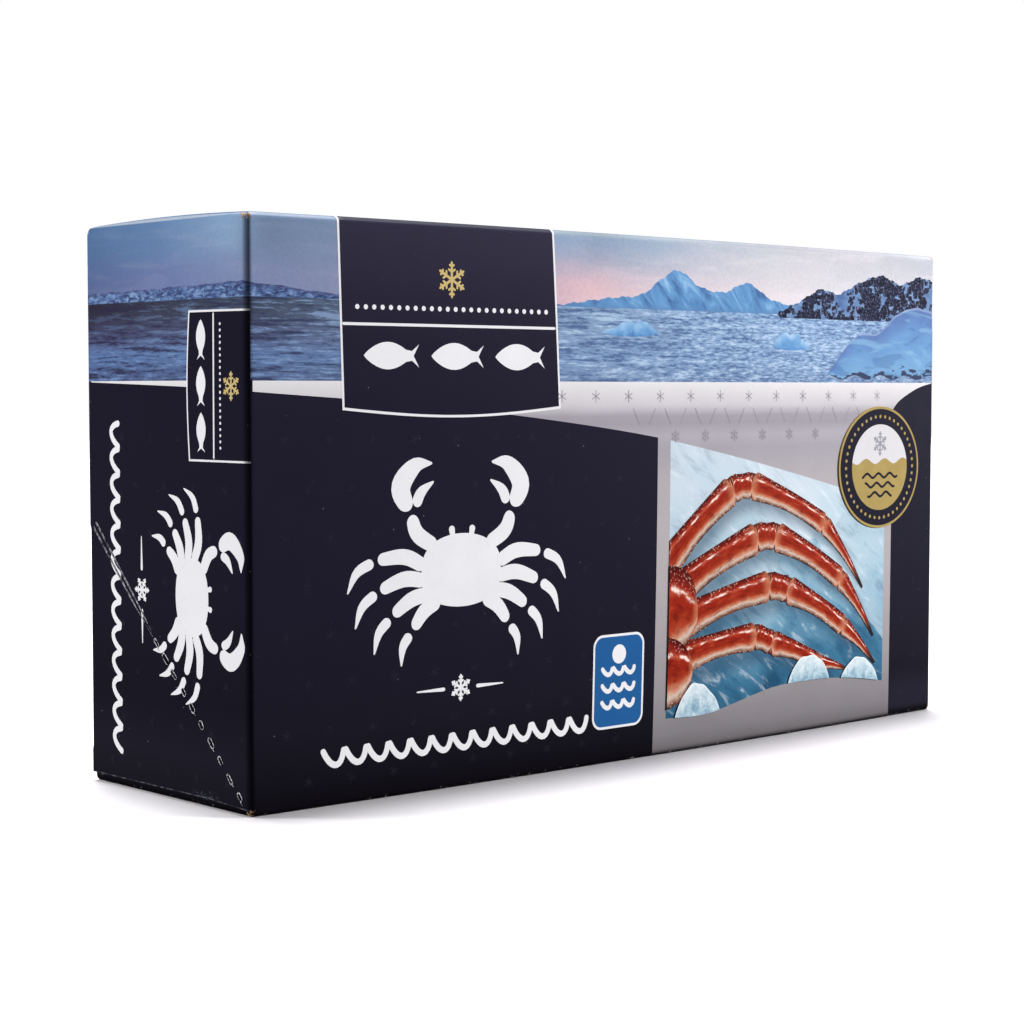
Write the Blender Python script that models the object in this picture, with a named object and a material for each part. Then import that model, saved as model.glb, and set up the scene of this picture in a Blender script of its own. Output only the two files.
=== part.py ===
"""A shut folding carton for frozen food, standing on its long side.

The carton is a sleeve of coated board (front, top, back and base panel) whose two ends are closed
by outer flaps.  Each outer flap hangs on the front panel's upright fold, covers the whole end and is
glued down, so its other three edges are cut board that lies on the folds behind it.  The carton is
full and glued shut, so it is one closed solid, with no hollow and nothing loose in it.

The solid is a stack of plan outlines.  Every outline has the same points in the same order, so one
outline is joined to the next by a band of faces, and points that fall together are merged.
Metres, +Z up, the front panel faces -Y, and the base lies on Z = 0.
"""
import bpy
import bmesh
import numpy as np

NODE = "carton"
MATERIAL = "printed_board"

LENGTH = 0.3130          # from the face of one end flap to the face of the other
DEPTH = 0.0830           # from the front panel to the back panel, measured at the ends
HEIGHT = 0.1700          # from the base to the top panel's folds
FOLD_RADIUS = 0.0016     # outside radius of every crease
BOARD = 0.0005           # thickness of the board, so also of an end flap

BASE_BOW = 0.0035        # how far the full panels belly out at the base, halfway along
TOP_BOW = 0.0055         # the same at the top
PANEL_BELLY = 0.0010     # what the middle of a panel adds to that
END_BELLY = 0.0005       # how far the middle of an end stands out
TOP_CROWN = 0.0009       # rise of the top panel between its two long folds

FLAP_FOOT = 0.0027       # height of an end flap's lower cut edge above the base
FLAP_FOOT_HINGE = 0.0018  # the same beside the fold that the flap hangs on
FLAP_HEAD = 0.0005       # how far its upper cut edge stays below the top
FLAP_LIP = 0.0003        # how far its upright cut edge stands out behind the back panel
FLAP_CORNER = 0.0024     # rounding of the flap's upper free corner

TEAR_HEIGHT = 0.0790     # where the tear line meets the flap's upright cut edge
TEAR_STEP = 0.0006       # how far the flap's edge sits back below the tear line
TEAR_FOOT = 0.0110       # height below which the edge comes out again
TEAR_FOOT_STEP = 0.0002  # how far it still sits back there

STEP_RUN = 0.0012        # height over which the flap's upright edge steps in or out
HINGE_SHARE = 0.25       # part of the depth over which the lower cut edge drops to its hinge

ARC_STEPS = 5            # faces round a quarter of a crease
LONG_STEPS = 26          # faces along a long panel
SHORT_STEPS = 12         # faces across an end
LOWER_LEVELS = 4         # outlines spread below the tear line
UPPER_LEVELS = 7         # outlines spread above it
ANGLE_GAP = 0.03         # radians that two outlines of a crease keep apart
MERGE_DISTANCE = 1.0e-6
RIM_DIGITS = 7           # decimals to which the points of a rim are told apart


def clear_scene():
    """Remove every object of the file that Blender starts with."""
    for item in list(bpy.data.objects):
        bpy.data.objects.remove(item, do_unlink=True)


def flap_edge(height):
    """Y of a flap's upright cut edge at a height: the tear line and the round corner shift it."""
    edge = DEPTH / 2 + FLAP_LIP
    if height < TEAR_FOOT:
        edge -= TEAR_FOOT_STEP
    elif height < TEAR_HEIGHT:
        edge -= TEAR_STEP
    above = height - (HEIGHT - FLAP_HEAD - FLAP_CORNER)
    if above > 0.0:
        edge -= FLAP_CORNER - np.sqrt(FLAP_CORNER**2 - min(above, FLAP_CORNER) ** 2)
    return edge


def right_half(inset, height, flap_out):
    """Plan points of the half with X > 0, from the middle of the front to the middle of the back.

    `inset` is how far the creases of base or top have drawn the body in.  Where the flap is out,
    the end runs in the flap's face; elsewhere it runs in the body's end, one board further in.
    """
    radius = FOLD_RADIUS - inset
    turn = np.linspace(0.0, np.pi / 2, ARC_STEPS + 1)
    body_end = LENGTH / 2 - BOARD - inset
    end = LENGTH / 2 if flap_out else body_end
    panel_x = np.linspace(0.0, LENGTH / 2 - BOARD - FOLD_RADIUS, LONG_STEPS // 2 + 1)
    front = np.column_stack([panel_x, np.full(panel_x.size, -DEPTH / 2 + inset)])
    hinge_x = LENGTH / 2 - FOLD_RADIUS + radius * np.sin(turn)
    hinge_y = -DEPTH / 2 + FOLD_RADIUS - radius * np.cos(turn)
    hinge = np.column_stack([hinge_x, hinge_y])
    hinge[:, 0] = np.minimum(hinge[:, 0], end)
    side_y = np.linspace(-DEPTH / 2 + FOLD_RADIUS, DEPTH / 2 - FOLD_RADIUS, SHORT_STEPS + 1)[1:-1]
    side = np.column_stack([np.full(side_y.size, end), side_y])
    back_x = LENGTH / 2 - BOARD - FOLD_RADIUS + radius * np.cos(turn)
    back_y = DEPTH / 2 - FOLD_RADIUS + radius * np.sin(turn)
    fold = np.column_stack([back_x, back_y])
    if flap_out:
        edge = flap_edge(height)
        fold[0] = [LENGTH / 2, edge]
        fold[1] = [LENGTH / 2 - BOARD, edge]
        fold[2] = fold[3]
    rear_x = panel_x[-2::-1]
    rear = np.column_stack([rear_x, np.full(rear_x.size, DEPTH / 2 - inset)])
    return np.vstack([front, hinge, side, fold, rear])


def outline(inset, height, flap_out, foot=False):
    """One closed ring of points in space; at its foot a flap's cut edge drops towards its hinge."""
    half = right_half(inset, height, flap_out)
    ring = np.vstack([half, half[-2:0:-1] * [-1.0, 1.0]])
    level = np.full(len(ring), height)
    if foot:
        from_hinge = (ring[:, 1] + DEPTH / 2) / (DEPTH * HINGE_SHARE)
        near_hinge = np.clip(1.0 - from_hinge, 0.0, 1.0)
        at_end = np.abs(ring[:, 0]) > LENGTH / 2 - FOLD_RADIUS - MERGE_DISTANCE
        level = level - (FLAP_FOOT - FLAP_FOOT_HINGE) * near_hinge * at_end
    return np.column_stack([ring, level])


def upright_levels():
    """Heights of the outlines between the flap's lower cut edge and the top creases.

    A pair of close levels makes each step in the flap's upright edge; the rest are spread evenly.
    """
    corner_start = HEIGHT - FLAP_HEAD - FLAP_CORNER
    levels = [FLAP_FOOT + STEP_RUN]
    levels += [TEAR_FOOT - STEP_RUN, TEAR_FOOT]
    levels += list(np.linspace(TEAR_FOOT, TEAR_HEIGHT, LOWER_LEVELS + 2)[1:-1])
    levels += [TEAR_HEIGHT - STEP_RUN, TEAR_HEIGHT]
    levels += list(np.linspace(TEAR_HEIGHT, corner_start, UPPER_LEVELS + 1)[1:])
    levels.append((corner_start + HEIGHT - FOLD_RADIUS) / 2)
    return levels


def rings():
    """All outlines from the base up: base creases, upright stretch, top creases."""
    turn = np.linspace(0.0, np.pi / 2, ARC_STEPS + 1)
    stack = []
    for angle in turn:
        inset = FOLD_RADIUS * (1.0 - np.sin(angle))
        stack.append(outline(inset, FOLD_RADIUS * (1.0 - np.cos(angle)), False))
    stack.append(outline(0.0, FLAP_FOOT, False, foot=True))
    stack.append(outline(0.0, FLAP_FOOT, True, foot=True))
    for level in upright_levels():
        stack.append(outline(0.0, level, True))
    head_angle = np.arcsin(1.0 - FLAP_HEAD / FOLD_RADIUS)
    below = turn[turn < head_angle - ANGLE_GAP]
    above = turn[turn > head_angle + ANGLE_GAP]
    steps = [(angle, True) for angle in below] + [(head_angle, True), (head_angle, False)]
    steps += [(angle, False) for angle in above]
    for angle, flap_out in steps:
        inset = FOLD_RADIUS * (1.0 - np.cos(angle))
        stack.append(outline(inset, HEIGHT - FOLD_RADIUS * (1.0 - np.sin(angle)), flap_out))
    return stack


def fill_out(points):
    """Belly the panels of the full carton.

    Across the depth every point moves out in proportion to its distance from the middle, by a bow
    that is a parabola along the length; the top rises and the ends stand out by parabolas too.
    """
    x, y, z = points.T
    along = 1.0 - np.clip(np.abs(x) / (LENGTH / 2), 0.0, 1.0) ** 2
    across = 1.0 - np.clip(np.abs(y) / (DEPTH / 2), 0.0, 1.0) ** 2
    up = z / HEIGHT
    belly = PANEL_BELLY * 4.0 * up * (1.0 - up)
    bow = (BASE_BOW + (TOP_BOW - BASE_BOW) * up + belly) * along
    lift = TOP_CROWN * across * up
    swell = END_BELLY * across * 4.0 * up * (1.0 - up)
    return np.column_stack([
        x * (1.0 + swell / (LENGTH / 2)),
        y * (1.0 + bow / (DEPTH / 2)),
        z + lift,
    ])


def cap(mesh, rim):
    """Close the stack with a grid of faces whose rim is its first or last outline."""
    rim_x = np.unique(np.round(rim[:, 0], RIM_DIGITS))
    rim_y = np.unique(np.round(rim[:, 1], RIM_DIGITS))
    x, y = np.meshgrid(rim_x, rim_y, indexing="ij")
    place = fill_out(np.column_stack([x.ravel(), y.ravel(), np.full(x.size, rim[0, 2])]))
    verts = [mesh.verts.new(point) for point in place]
    for i in range(len(rim_x) - 1):
        for j in range(len(rim_y) - 1):
            low = i * len(rim_y) + j
            high = low + len(rim_y)
            mesh.faces.new([verts[low], verts[high], verts[high + 1], verts[low + 1]])


def build_carton():
    """Join the outlines by bands, close both ends and merge the points that fall together."""
    mesh = bmesh.new()
    stack = rings()
    loops = [[mesh.verts.new(point) for point in fill_out(ring)] for ring in stack]
    for lower, upper in zip(loops[:-1], loops[1:]):
        for k in range(len(lower)):
            n = (k + 1) % len(lower)
            mesh.faces.new([lower[k], lower[n], upper[n], upper[k]])
    cap(mesh, stack[0])
    cap(mesh, stack[-1])
    bmesh.ops.remove_doubles(mesh, verts=mesh.verts, dist=MERGE_DISTANCE)
    bmesh.ops.dissolve_degenerate(mesh, edges=mesh.edges, dist=MERGE_DISTANCE)
    bmesh.ops.recalc_face_normals(mesh, faces=mesh.faces)
    data = bpy.data.meshes.new(NODE)
    mesh.to_mesh(data)
    mesh.free()
    item = bpy.data.objects.new(NODE, data)
    bpy.context.collection.objects.link(item)
    return item


def board_material():
    """Dark coated board with a slight sheen."""
    material = bpy.data.materials.new(MATERIAL)
    material.use_nodes = True
    shader = material.node_tree.nodes["Principled BSDF"]
    shader.inputs["Base Color"].default_value = (0.018, 0.017, 0.026, 1.0)
    shader.inputs["Roughness"].default_value = 0.42
    return material


clear_scene()
carton = build_carton()
carton.data.materials.append(board_material())
for face in carton.data.polygons:
    face.use_smooth = True
carton.data.set_sharp_from_angle(angle=np.radians(30.0))
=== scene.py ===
import bmesh
import bpy
import numpy as np
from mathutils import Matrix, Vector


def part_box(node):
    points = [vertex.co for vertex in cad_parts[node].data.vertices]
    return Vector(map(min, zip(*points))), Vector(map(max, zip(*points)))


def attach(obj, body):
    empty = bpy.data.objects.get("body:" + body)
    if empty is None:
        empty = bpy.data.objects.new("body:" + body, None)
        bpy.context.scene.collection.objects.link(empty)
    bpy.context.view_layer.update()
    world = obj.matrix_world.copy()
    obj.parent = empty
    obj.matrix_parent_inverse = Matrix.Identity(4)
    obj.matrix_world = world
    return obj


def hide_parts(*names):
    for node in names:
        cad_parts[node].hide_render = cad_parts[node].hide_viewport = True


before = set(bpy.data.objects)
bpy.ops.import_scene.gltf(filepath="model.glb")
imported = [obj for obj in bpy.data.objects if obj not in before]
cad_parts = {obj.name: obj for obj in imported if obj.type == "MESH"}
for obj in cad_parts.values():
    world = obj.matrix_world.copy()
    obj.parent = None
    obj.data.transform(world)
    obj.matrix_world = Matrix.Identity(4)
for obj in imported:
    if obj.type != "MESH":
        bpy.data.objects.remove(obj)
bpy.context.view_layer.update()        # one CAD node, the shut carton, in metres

# ---------------------------------------------------------------------------------------------
# The studio: a white sweep, and soft boxes to the right of the printed front and behind the near
# end, so that the upright fold between them stays dark.  One lamp overhead lights the carton, and
# one, leaning in from behind, clears the sweep to white but for a soft shadow before the carton.

camera_place = (-0.51221, -0.54111, 0.12034)
camera_turn = 42.3368        # degrees to the right of +Y
camera_dip = 3.1920          # degrees below the horizon
camera_lens = 76.818         # millimetres, on a 36 mm film


def placed(data):
    """An object of that mesh, lamp or camera, with its name, linked to the scene."""
    item = bpy.data.objects.new(data.name, data)
    bpy.context.collection.objects.link(item)
    return item


lens = bpy.data.cameras.new("camera")
lens.lens = camera_lens
lens.clip_start = 0.05
camera = placed(lens)
camera.location = camera_place
camera.rotation_euler = np.radians((90.0 - camera_dip, 0.0, -camera_turn))
bpy.context.scene.camera = camera
bpy.context.scene.view_settings.view_transform = "Standard"


def soft_box(name, azimuth, rise, distance, side, power):
    """A square lamp at an azimuth (0 is -Y, 90 is -X) and a rise in degrees, facing the carton."""
    lamp = bpy.data.lights.new(name, "AREA")
    lamp.size = side
    lamp.energy = power
    item = placed(lamp)
    turn, tilt = np.radians((azimuth, rise))
    towards = np.array([-np.sin(turn) * np.cos(tilt), -np.cos(turn) * np.cos(tilt), np.sin(tilt)])
    item.location = towards * distance
    item.rotation_euler = (np.pi / 2 - tilt, 0.0, -turn)
    item.visible_camera = False
    return item


def sun(name, power, angle):
    """A lamp that shines straight down from far off; the angle, in degrees, softens its shadows."""
    lamp = bpy.data.lights.new(name, "SUN")
    lamp.energy = power
    lamp.angle = np.radians(angle)
    return placed(lamp)


def put(tree, kind, *inputs, **settings):
    """Add a shader node and fill its inputs in order: a socket or a tone is linked, a value is set."""
    node = tree.nodes.new("ShaderNode" + kind)
    for key, value in settings.items():
        setattr(node, key, value)
    for socket, value in zip([s for s in node.inputs if s.enabled], inputs):
        value = getattr(value, "socket", value)
        if isinstance(value, bpy.types.NodeSocket):
            tree.links.new(value, socket)
        elif value is not None:
            socket.default_value = value
    return node


right_box = soft_box("soft_box_right", -43.0, 16.0, 2.80, 0.80, 106.0)
rear_box = soft_box("soft_box_rear", 133.0, 16.0, 2.80, 0.80, 100.0)
right_box.visible_glossy = rear_box.visible_glossy = False
soft_box("soft_box_sheen", -60.0, 8.0, 2.20, 1.20, 6.0)
overhead = sun("overhead", 3.4, 30.0)

room = bpy.data.worlds.new("room")
room.use_nodes = True
room_light = room.node_tree.nodes["Background"].inputs
seen = put(room.node_tree, "LightPath").outputs["Is Camera Ray"]
strength = put(room.node_tree, "MapRange", seen, 0.0, 1.0, 0.035, 1.0).outputs[0]
room.node_tree.links.new(strength, room_light["Strength"])
room_light["Color"].default_value = (1.0, 1.0, 1.0, 1.0)
bpy.context.scene.world = room

floor_half = 4.0
floor_mesh = bpy.data.meshes.new("floor")
floor_corners = np.array([[-1, -1, 0], [1, -1, 0], [1, 1, 0], [-1, 1, 0]]) * floor_half
floor_mesh.from_pydata(floor_corners.tolist(), [], [(0, 1, 2, 3)])
floor = placed(floor_mesh)
sweep = bpy.data.materials.new("white_sweep")
sweep.use_nodes = True
tree = sweep.node_tree
paper = put(tree, "TexNoise", None, 3.0, 2.0).outputs[0]
pale = put(tree, "MapRange", paper, 0.0, 1.0, 0.80, 0.82).outputs[0]
seen = put(tree, "LightPath").outputs["Is Camera Ray"]
shown = put(tree, "MapRange", seen, 0.0, 1.0, 0.03, pale).outputs[0]
hue = put(tree, "VectorMath", shown, (1.0, 0.97, 1.012), operation="MULTIPLY").outputs[0]
paint = tree.nodes["Principled BSDF"].inputs
tree.links.new(hue, paint["Base Color"])
paint["Roughness"].default_value = 0.9
paint["Specular IOR Level"].default_value = 0.0
floor_mesh.materials.append(sweep)

sweep_lamp = sun("sweep_lamp", 5.3, 19.2)
lean_back, lean_aside = 10.6, 31.0    # degrees from upright, and from +Y towards +X
sweep_lamp.rotation_euler = np.radians((-lean_back, 0.0, -lean_aside))
for lamp, state in ((sweep_lamp, "INCLUDE"), (overhead, "EXCLUDE")):
    receivers = bpy.data.collections.new(lamp.name + "_floor")
    receivers.objects.link(floor)
    receivers.collection_objects[0].light_linking.link_state = state
    lamp.light_linking.receiver_collection = receivers

# ---------------------------------------------------------------------------------------------
# The carton: one blank of white-backed folding board, printed and varnished, folded to a sleeve
# round its contents.  Each end is closed by an outer flap that hangs on the front's upright fold
# and is glued down, so its three other edges are cut board.  Full, it bellies out.

_, high_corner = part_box("carton")
base_bow = 0.0035            # how far the long panels stand out at the base, halfway along
top_bow = 0.0055             # the same at the top
panel_belly = 0.0010         # what the middle of a panel adds
end_belly = 0.0005           # how far the middle of an end stands out
top_crown = 0.0009           # rise of the top panel between its folds
widest = 0.5 + (top_bow - base_bow) / (8 * panel_belly)
widest_bow = base_bow + (top_bow - base_bow) * widest + 4 * panel_belly * widest * (1 - widest)
half_length = high_corner[0] - end_belly
half_depth = high_corner[1] - widest_bow
height = high_corner[2] - top_crown
fold_radius = 0.0016
hinge_run = 0.0027           # how far the bend of an end flap's fold reaches back over the flap
board = 0.0005               # thickness of the board
flap_foot = 0.0027           # the flap's lower cut edge, above the base
flap_foot_hinge = 0.0018     # the same beside its hinge
flap_head = 0.0005           # the upper cut edge, below the top
flap_lip = 0.0003            # how far the upright cut edge stands out behind the back panel
flap_corner = 0.0024         # rounding of the free upper corner
tear_height = 0.0790         # where the tear line meets that edge
tear_step = 0.0006           # how far the edge sits back below it
tear_foot = 0.0110           # below this the edge comes out again
tear_foot_step = 0.0002
hinge_share = 0.25           # the part of the flap's width over which its foot drops to the hinge
step_run = 0.0012            # height of the rows beside each step of the edge
picture_foot = 0.1230        # lower edge of the printed landscape
horizon = 146.4              # height of its skyline, in millimetres
merging = 1.0e-6             # points closer than this are one
end_at, side_at, top_at = (size * 1000 for size in (half_length, half_depth, height))
fold_steps, panel_steps, end_steps = 8, 28, 20    # faces round a fold, along half the front, on an end


def bellied(x, y, z, crown=8):
    """Points of the straight-sided box, moved to where the full carton's panels bulge.

    bow = (base + (top - base) u + 4 m u (1 - u)) (1 - (x / X)^2) with u = z / height, and
    y' = y (1 + bow / Y); the ends swell and the top rises by the same kind of parabola.
    """
    along = 1.0 - np.clip(np.abs(x) / half_length, 0.0, 1.0) ** 2
    across = 1.0 - np.clip(np.abs(y) / half_depth, 0.0, 1.0) ** 2
    up = np.clip(z / height, 0.0, 1.0)
    bow = (base_bow + (top_bow - base_bow) * up + 4 * panel_belly * up * (1 - up)) * along
    swell = end_belly * across * 4 * up * (1 - up)
    lift = top_crown * across * up**crown
    return np.stack([x * (1 + swell / half_length), y * (1 + bow / half_depth), z + lift], axis=-1)


def flap_edge(level):
    """Y of a flap's upright cut edge: it sits back below the tear line and is rounded at the top."""
    edge = half_depth + flap_lip - tear_step * (level < tear_height)
    edge = edge + (tear_step - tear_foot_step) * (level < tear_foot)
    above = np.clip(level - (height - flap_head - flap_corner), 0.0, flap_corner)
    return edge - flap_corner + np.sqrt(flap_corner**2 - above**2)


def carton_outlines(level, inset, flap_out, foot):
    """One closed plan outline for each level: front, hinge fold, end, back fold, back, mirrored.

    A fold is a quarter arc of radius r - inset, drawn out over the flap at its hinge.  Where the
    flap is out, the end runs at X = length / 2 up to its cut edge, and elsewhere one board further in.
    """
    level, inset, flap_out, foot = (np.asarray(v)[:, None] for v in (level, inset, flap_out, foot))
    radius = fold_radius - inset
    turn = np.linspace(0.0, np.pi / 2, fold_steps + 1)[None]
    body_end = half_length - board
    end = np.where(flap_out, half_length, body_end - inset)
    panel = np.linspace(0.0, body_end - fold_radius, panel_steps + 1)[None]
    side = np.linspace(hinge_run - half_depth, half_depth - fold_radius, end_steps + 1)[None, 1:-1]
    hinge_x = np.minimum(half_length - fold_radius + radius * np.sin(turn), end)
    hinge_y = hinge_run - half_depth - (hinge_run - inset) * np.cos(turn)
    fold_x = body_end - fold_radius + radius * np.cos(turn)
    fold_y = half_depth - fold_radius + radius * np.sin(turn)
    edge, out = flap_edge(level[:, 0]), flap_out[:, 0]
    cut = ((half_length, edge), (body_end, edge), (fold_x[:, 3], fold_y[:, 3]))
    for column, (cut_x, cut_y) in enumerate(cut):
        fold_x[:, column] = np.where(out, cut_x, fold_x[:, column])
        fold_y[:, column] = np.where(out, cut_y, fold_y[:, column])
    ones = np.ones_like(level)
    x = np.hstack([panel * ones, hinge_x, end * np.ones_like(side), fold_x, panel[:, -2::-1] * ones])
    y = np.hstack([(inset - half_depth) * np.ones_like(panel), hinge_y, side * ones, fold_y,
                   (half_depth - inset) * np.ones_like(panel[:, 1:])])
    x, y = np.hstack([x, -x[:, -2:0:-1]]), np.hstack([y, y[:, -2:0:-1]])
    near_hinge = np.clip(1.0 - (y + half_depth) / (2 * half_depth * hinge_share), 0.0, 1.0)
    on_flap = np.abs(x) > half_length - fold_radius - merging
    return x, y, level - foot * ((flap_foot - flap_foot_hinge) * near_hinge * on_flap)


def quads(rows, columns, start=0, closed=False):
    """Corner numbers of the faces of a grid of points, row by row; closed joins the last column."""
    index = start + np.arange(rows * columns).reshape(rows, columns)
    if closed:
        index = np.hstack([index, index[:, :1]])
    low, high = index[:-1], index[1:]
    return np.stack([low[:, :-1], low[:, 1:], high[:, 1:], high[:, :-1]], axis=-1).reshape(-1, 4)


def finished(name, points, faces, slots, materials, values=None):
    """Make the mesh object: merge what falls together, drop what has no width, shade it smooth."""
    mesh = bpy.data.meshes.new(name)
    mesh.from_pydata(points.reshape(-1, 3).tolist(), [], faces.tolist())
    mesh.polygons.foreach_set("material_index", np.asarray(slots, dtype=np.int32))
    for key, numbers in (values or {}).items():
        layer = mesh.attributes.new(key, "FLOAT", "POINT")
        layer.data.foreach_set("value", np.asarray(numbers, dtype=np.float32).ravel())
    work = bmesh.new()
    work.from_mesh(mesh)
    bmesh.ops.remove_doubles(work, verts=work.verts, dist=merging)
    bmesh.ops.dissolve_degenerate(work, edges=work.edges, dist=merging)
    work.to_mesh(mesh)
    work.free()
    for material in materials:
        mesh.materials.append(material)
    mesh.polygons.foreach_set("use_smooth", np.ones(len(mesh.polygons), dtype=bool))
    mesh.set_sharp_from_angle(angle=np.radians(32.0))
    return placed(mesh)


def ink(red, green, blue):
    """A printed colour as read off a proof, 0 to 255 a channel, in linear light."""
    part = np.array([red, green, blue]) / 255.0
    linear = np.where(part <= 0.04045, part / 12.92, ((part + 0.055) / 1.055) ** 2.4)
    return (*linear.tolist(), 1.0)


class Tone:
    """A number or colour that varies over a surface: a shader socket to reckon with.

    A sum, product or comparison of tones is a Math node, added where the tones are.
    """

    __array_ufunc__ = None

    def __init__(self, socket):
        self.socket = socket

    def __add__(self, other):
        return reckon("ADD", self, other)

    def __sub__(self, other):
        return reckon("SUBTRACT", self, other)

    def __rsub__(self, other):
        return reckon("SUBTRACT", other, self)

    def __mul__(self, other):
        return reckon("MULTIPLY", self, other)

    def __truediv__(self, other):
        return reckon("DIVIDE", self, other)

    def __abs__(self):
        return reckon("ABSOLUTE", self)

    def __lt__(self, other):
        return reckon("LESS_THAN", self, other)

    def __gt__(self, other):
        return reckon("GREATER_THAN", self, other)

    __radd__, __rmul__ = __add__, __mul__


def made(kind, *inputs, **settings):
    """The tone of a new node's first live output; the node joins the tree of the tones fed to it."""
    tree = next(value.socket.id_data for value in inputs if isinstance(value, Tone))
    node = put(tree, kind, *inputs, **settings)
    return Tone(next(socket for socket in node.outputs if socket.enabled))


def reckon(operation, *terms):
    """The result of a Math node."""
    return made("Math", *terms, operation=operation)


def larger(first, second):
    """The larger of two tones."""
    return reckon("MAXIMUM", first, second)


def smaller(first, second):
    """The smaller of two tones."""
    return reckon("MINIMUM", first, second)


def ramp(value, low, high, start=0.0, stop=1.0):
    """Straight from start, where the value is low, to stop, where it is high."""
    return made("MapRange", value, low, high, start, stop)


def rise(value, low, high):
    """0 at low, 1 at high, and a smooth step between them."""
    return made("MapRange", value, low, high, 0.0, 1.0, interpolation_type="SMOOTHSTEP")


def blend(share, first, second, mode="MIX"):
    """Two colours mixed by a share from 0 to 1."""
    return made("Mix", share, first, second, data_type="RGBA", blend_type=mode)


def graded(value, low, high, *stops):
    """A ramp over value from low to high; each stop is (value, red, green, blue) or (value, share)."""
    share = ramp(value, low, high)
    node = put(share.socket.id_data, "ValToRGB", share)
    marks = node.color_ramp.elements
    while len(marks) < len(stops):
        marks.new(0.5)
    for mark, (at, *_) in zip(marks, stops):
        mark.position = (at - low) / (high - low)
    for mark, (_, *colour) in zip(marks, stops):
        mark.color = ink(*colour) if len(colour) == 3 else (*(colour * 3), 1.0)
    return Tone(node.outputs["Color"])


def stretched(place, factors):
    """A vector multiplied by three factors."""
    return made("VectorMath", place, factors, operation="MULTIPLY")


def together(x, y, z):
    """Three tones as one vector."""
    return made("CombineXYZ", x, y, z)


def on_board(tree):
    """The place on the carton in millimetres: the vector, then x, y and z."""
    place = stretched(Tone(put(tree, "TexCoord").outputs["Object"]), (1000.0, 1000.0, 1000.0))
    return (place, *(Tone(part) for part in put(tree, "SeparateXYZ", place).outputs))


def own(tree, name):
    """What a sheet of print carries at each of its points: its way along or over."""
    return Tone(put(tree, "Attribute", attribute_name=name).outputs["Fac"])


def grain(place, scale, detail=2.0, stretch=(1.0, 1.0, 1.0), distortion=0.0, roughness=0.5):
    """Noise from 0 to 1; scale counts its features in a millimetre, before the stretch."""
    return made("TexNoise", stretched(place, stretch), scale, detail, roughness, 2.0, distortion)


def cells(place, scale, distance="EUCLIDEAN"):
    """How far a point is from the nearest of many scattered ones."""
    return made("TexVoronoi", place, scale, distance=distance)


def varnished_board():
    """Shader node group of what all print on the board shares: uneven ink, rubbed folds, dust.

    It measures how near a point is to the carton's folds and corners.  There the ink wears through
    to the pale fibre by a share that noise breaks up.  Fine specks of dust lie on the varnish.  A
    painted highlight pales the top folds, and painted shade darkens the front side of the upright
    hinge folds.
    """
    tree = bpy.data.node_groups.new("varnished_board", "ShaderNodeTree")
    for side, labels in (("INPUT", "Ink Wear Dust"), ("OUTPUT", "Colour Roughness Height")):
        for label in labels.split():
            kind = "NodeSocketColor" if label in ("Ink", "Colour") else "NodeSocketFloat"
            tree.interface.new_socket(name=label, in_out=side, socket_type=kind)
    given = tree.nodes.new("NodeGroupInput").outputs
    result = tree.nodes.new("NodeGroupOutput").inputs
    place, x, y, z = on_board(tree)
    cloud, fibre, broken = grain(place, 0.09, 3.0), grain(place, 1.9, 3.0), grain(place, 0.8, 4.0)
    from_end = end_at - abs(x)
    along = x / end_at
    bow = ramp(z, 0.0, top_at, base_bow * 1000, top_bow * 1000) * (1.0 - along * along)
    from_side = larger(side_at + bow - abs(y), 0.0)
    from_top = top_at - z
    from_level = larger(smaller(from_top, z), 0.0)
    far = larger(larger(from_end, from_side), from_level)
    nearest = smaller(smaller(from_end, from_side), from_level)
    second = from_end + from_side + from_level - far - nearest
    reach = larger(from_end * 1.35, from_side * 0.75)
    corner = rise(larger(reach, from_level), 3.9, 0.7)
    fold = rise(second, 1.3, 0.2)
    seen_share = ramp(y, 0.0, -side_at, 0.10, 0.35) * ramp(x, -end_at, end_at, 1.0, 1.25)
    worn = (corner * seen_share + fold * 0.13) * given["Wear"]
    bare = rise(worn + broken, 0.76, 0.84)
    bare_fibre = graded(fibre, 0.3, 0.7, (0.3, 96, 70, 52), (0.52, 172, 136, 104), (0.7, 214, 194, 170))
    speck = rise(cells(place, 0.16), 0.036, 0.014) * given["Dust"]
    density = ramp(cloud, 0.25, 0.75, 0.97, 1.03) * ramp(fibre, 0.2, 0.8, 0.97, 1.03)
    surface_colour = blend(1.0, given["Ink"], together(density, density, density), "MULTIPLY")
    surface_colour = blend(speck * 0.7, surface_colour, ink(150, 150, 160))
    # Painted shade: near black mixed in along the front side of each upright hinge fold.
    hinge = larger(from_end, from_side * (fold_radius / hinge_run))
    surface_colour = blend(rise(hinge, 1.5, 0.5) * (y < 0.0) * 0.5, surface_colour, ink(8, 8, 14))
    # Painted highlight: pale blue-white mixed in along the top folds, by a share largest at the near
    # end.
    below = rise(from_end, 0.6, 0.1) * 0.45 + second
    highlight_share = graded(x, -160.0, 160.0, (-157, 0.50), (-155.5, 0.50), (-153, 0.30), (-128, 0.26),
                    (-124, 0.06), (-46, 0.05), (-40, 0.0))
    painted_highlight = rise(below, 1.15, 0.75) * rise(from_top, 2.4, 1.6) * highlight_share
    surface_colour = blend(painted_highlight, surface_colour, ink(226, 233, 240))
    chipped = rise(z, 1.5, 0.9) * rise(broken, 0.655, 0.69) * given["Wear"]
    surface_colour = blend(chipped, surface_colour, ink(190, 186, 188))
    for label, tone in (("Colour", blend(bare, surface_colour, bare_fibre)),
                        ("Roughness", bare * 0.4 + ramp(cloud, 0.3, 0.7, 0.36, 0.44)),
                        ("Height", bare * -0.8 + speck * 0.6 + fibre * 0.35)):
        tree.links.new(tone.socket, result[label])
    return tree


board_group = varnished_board()


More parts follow.
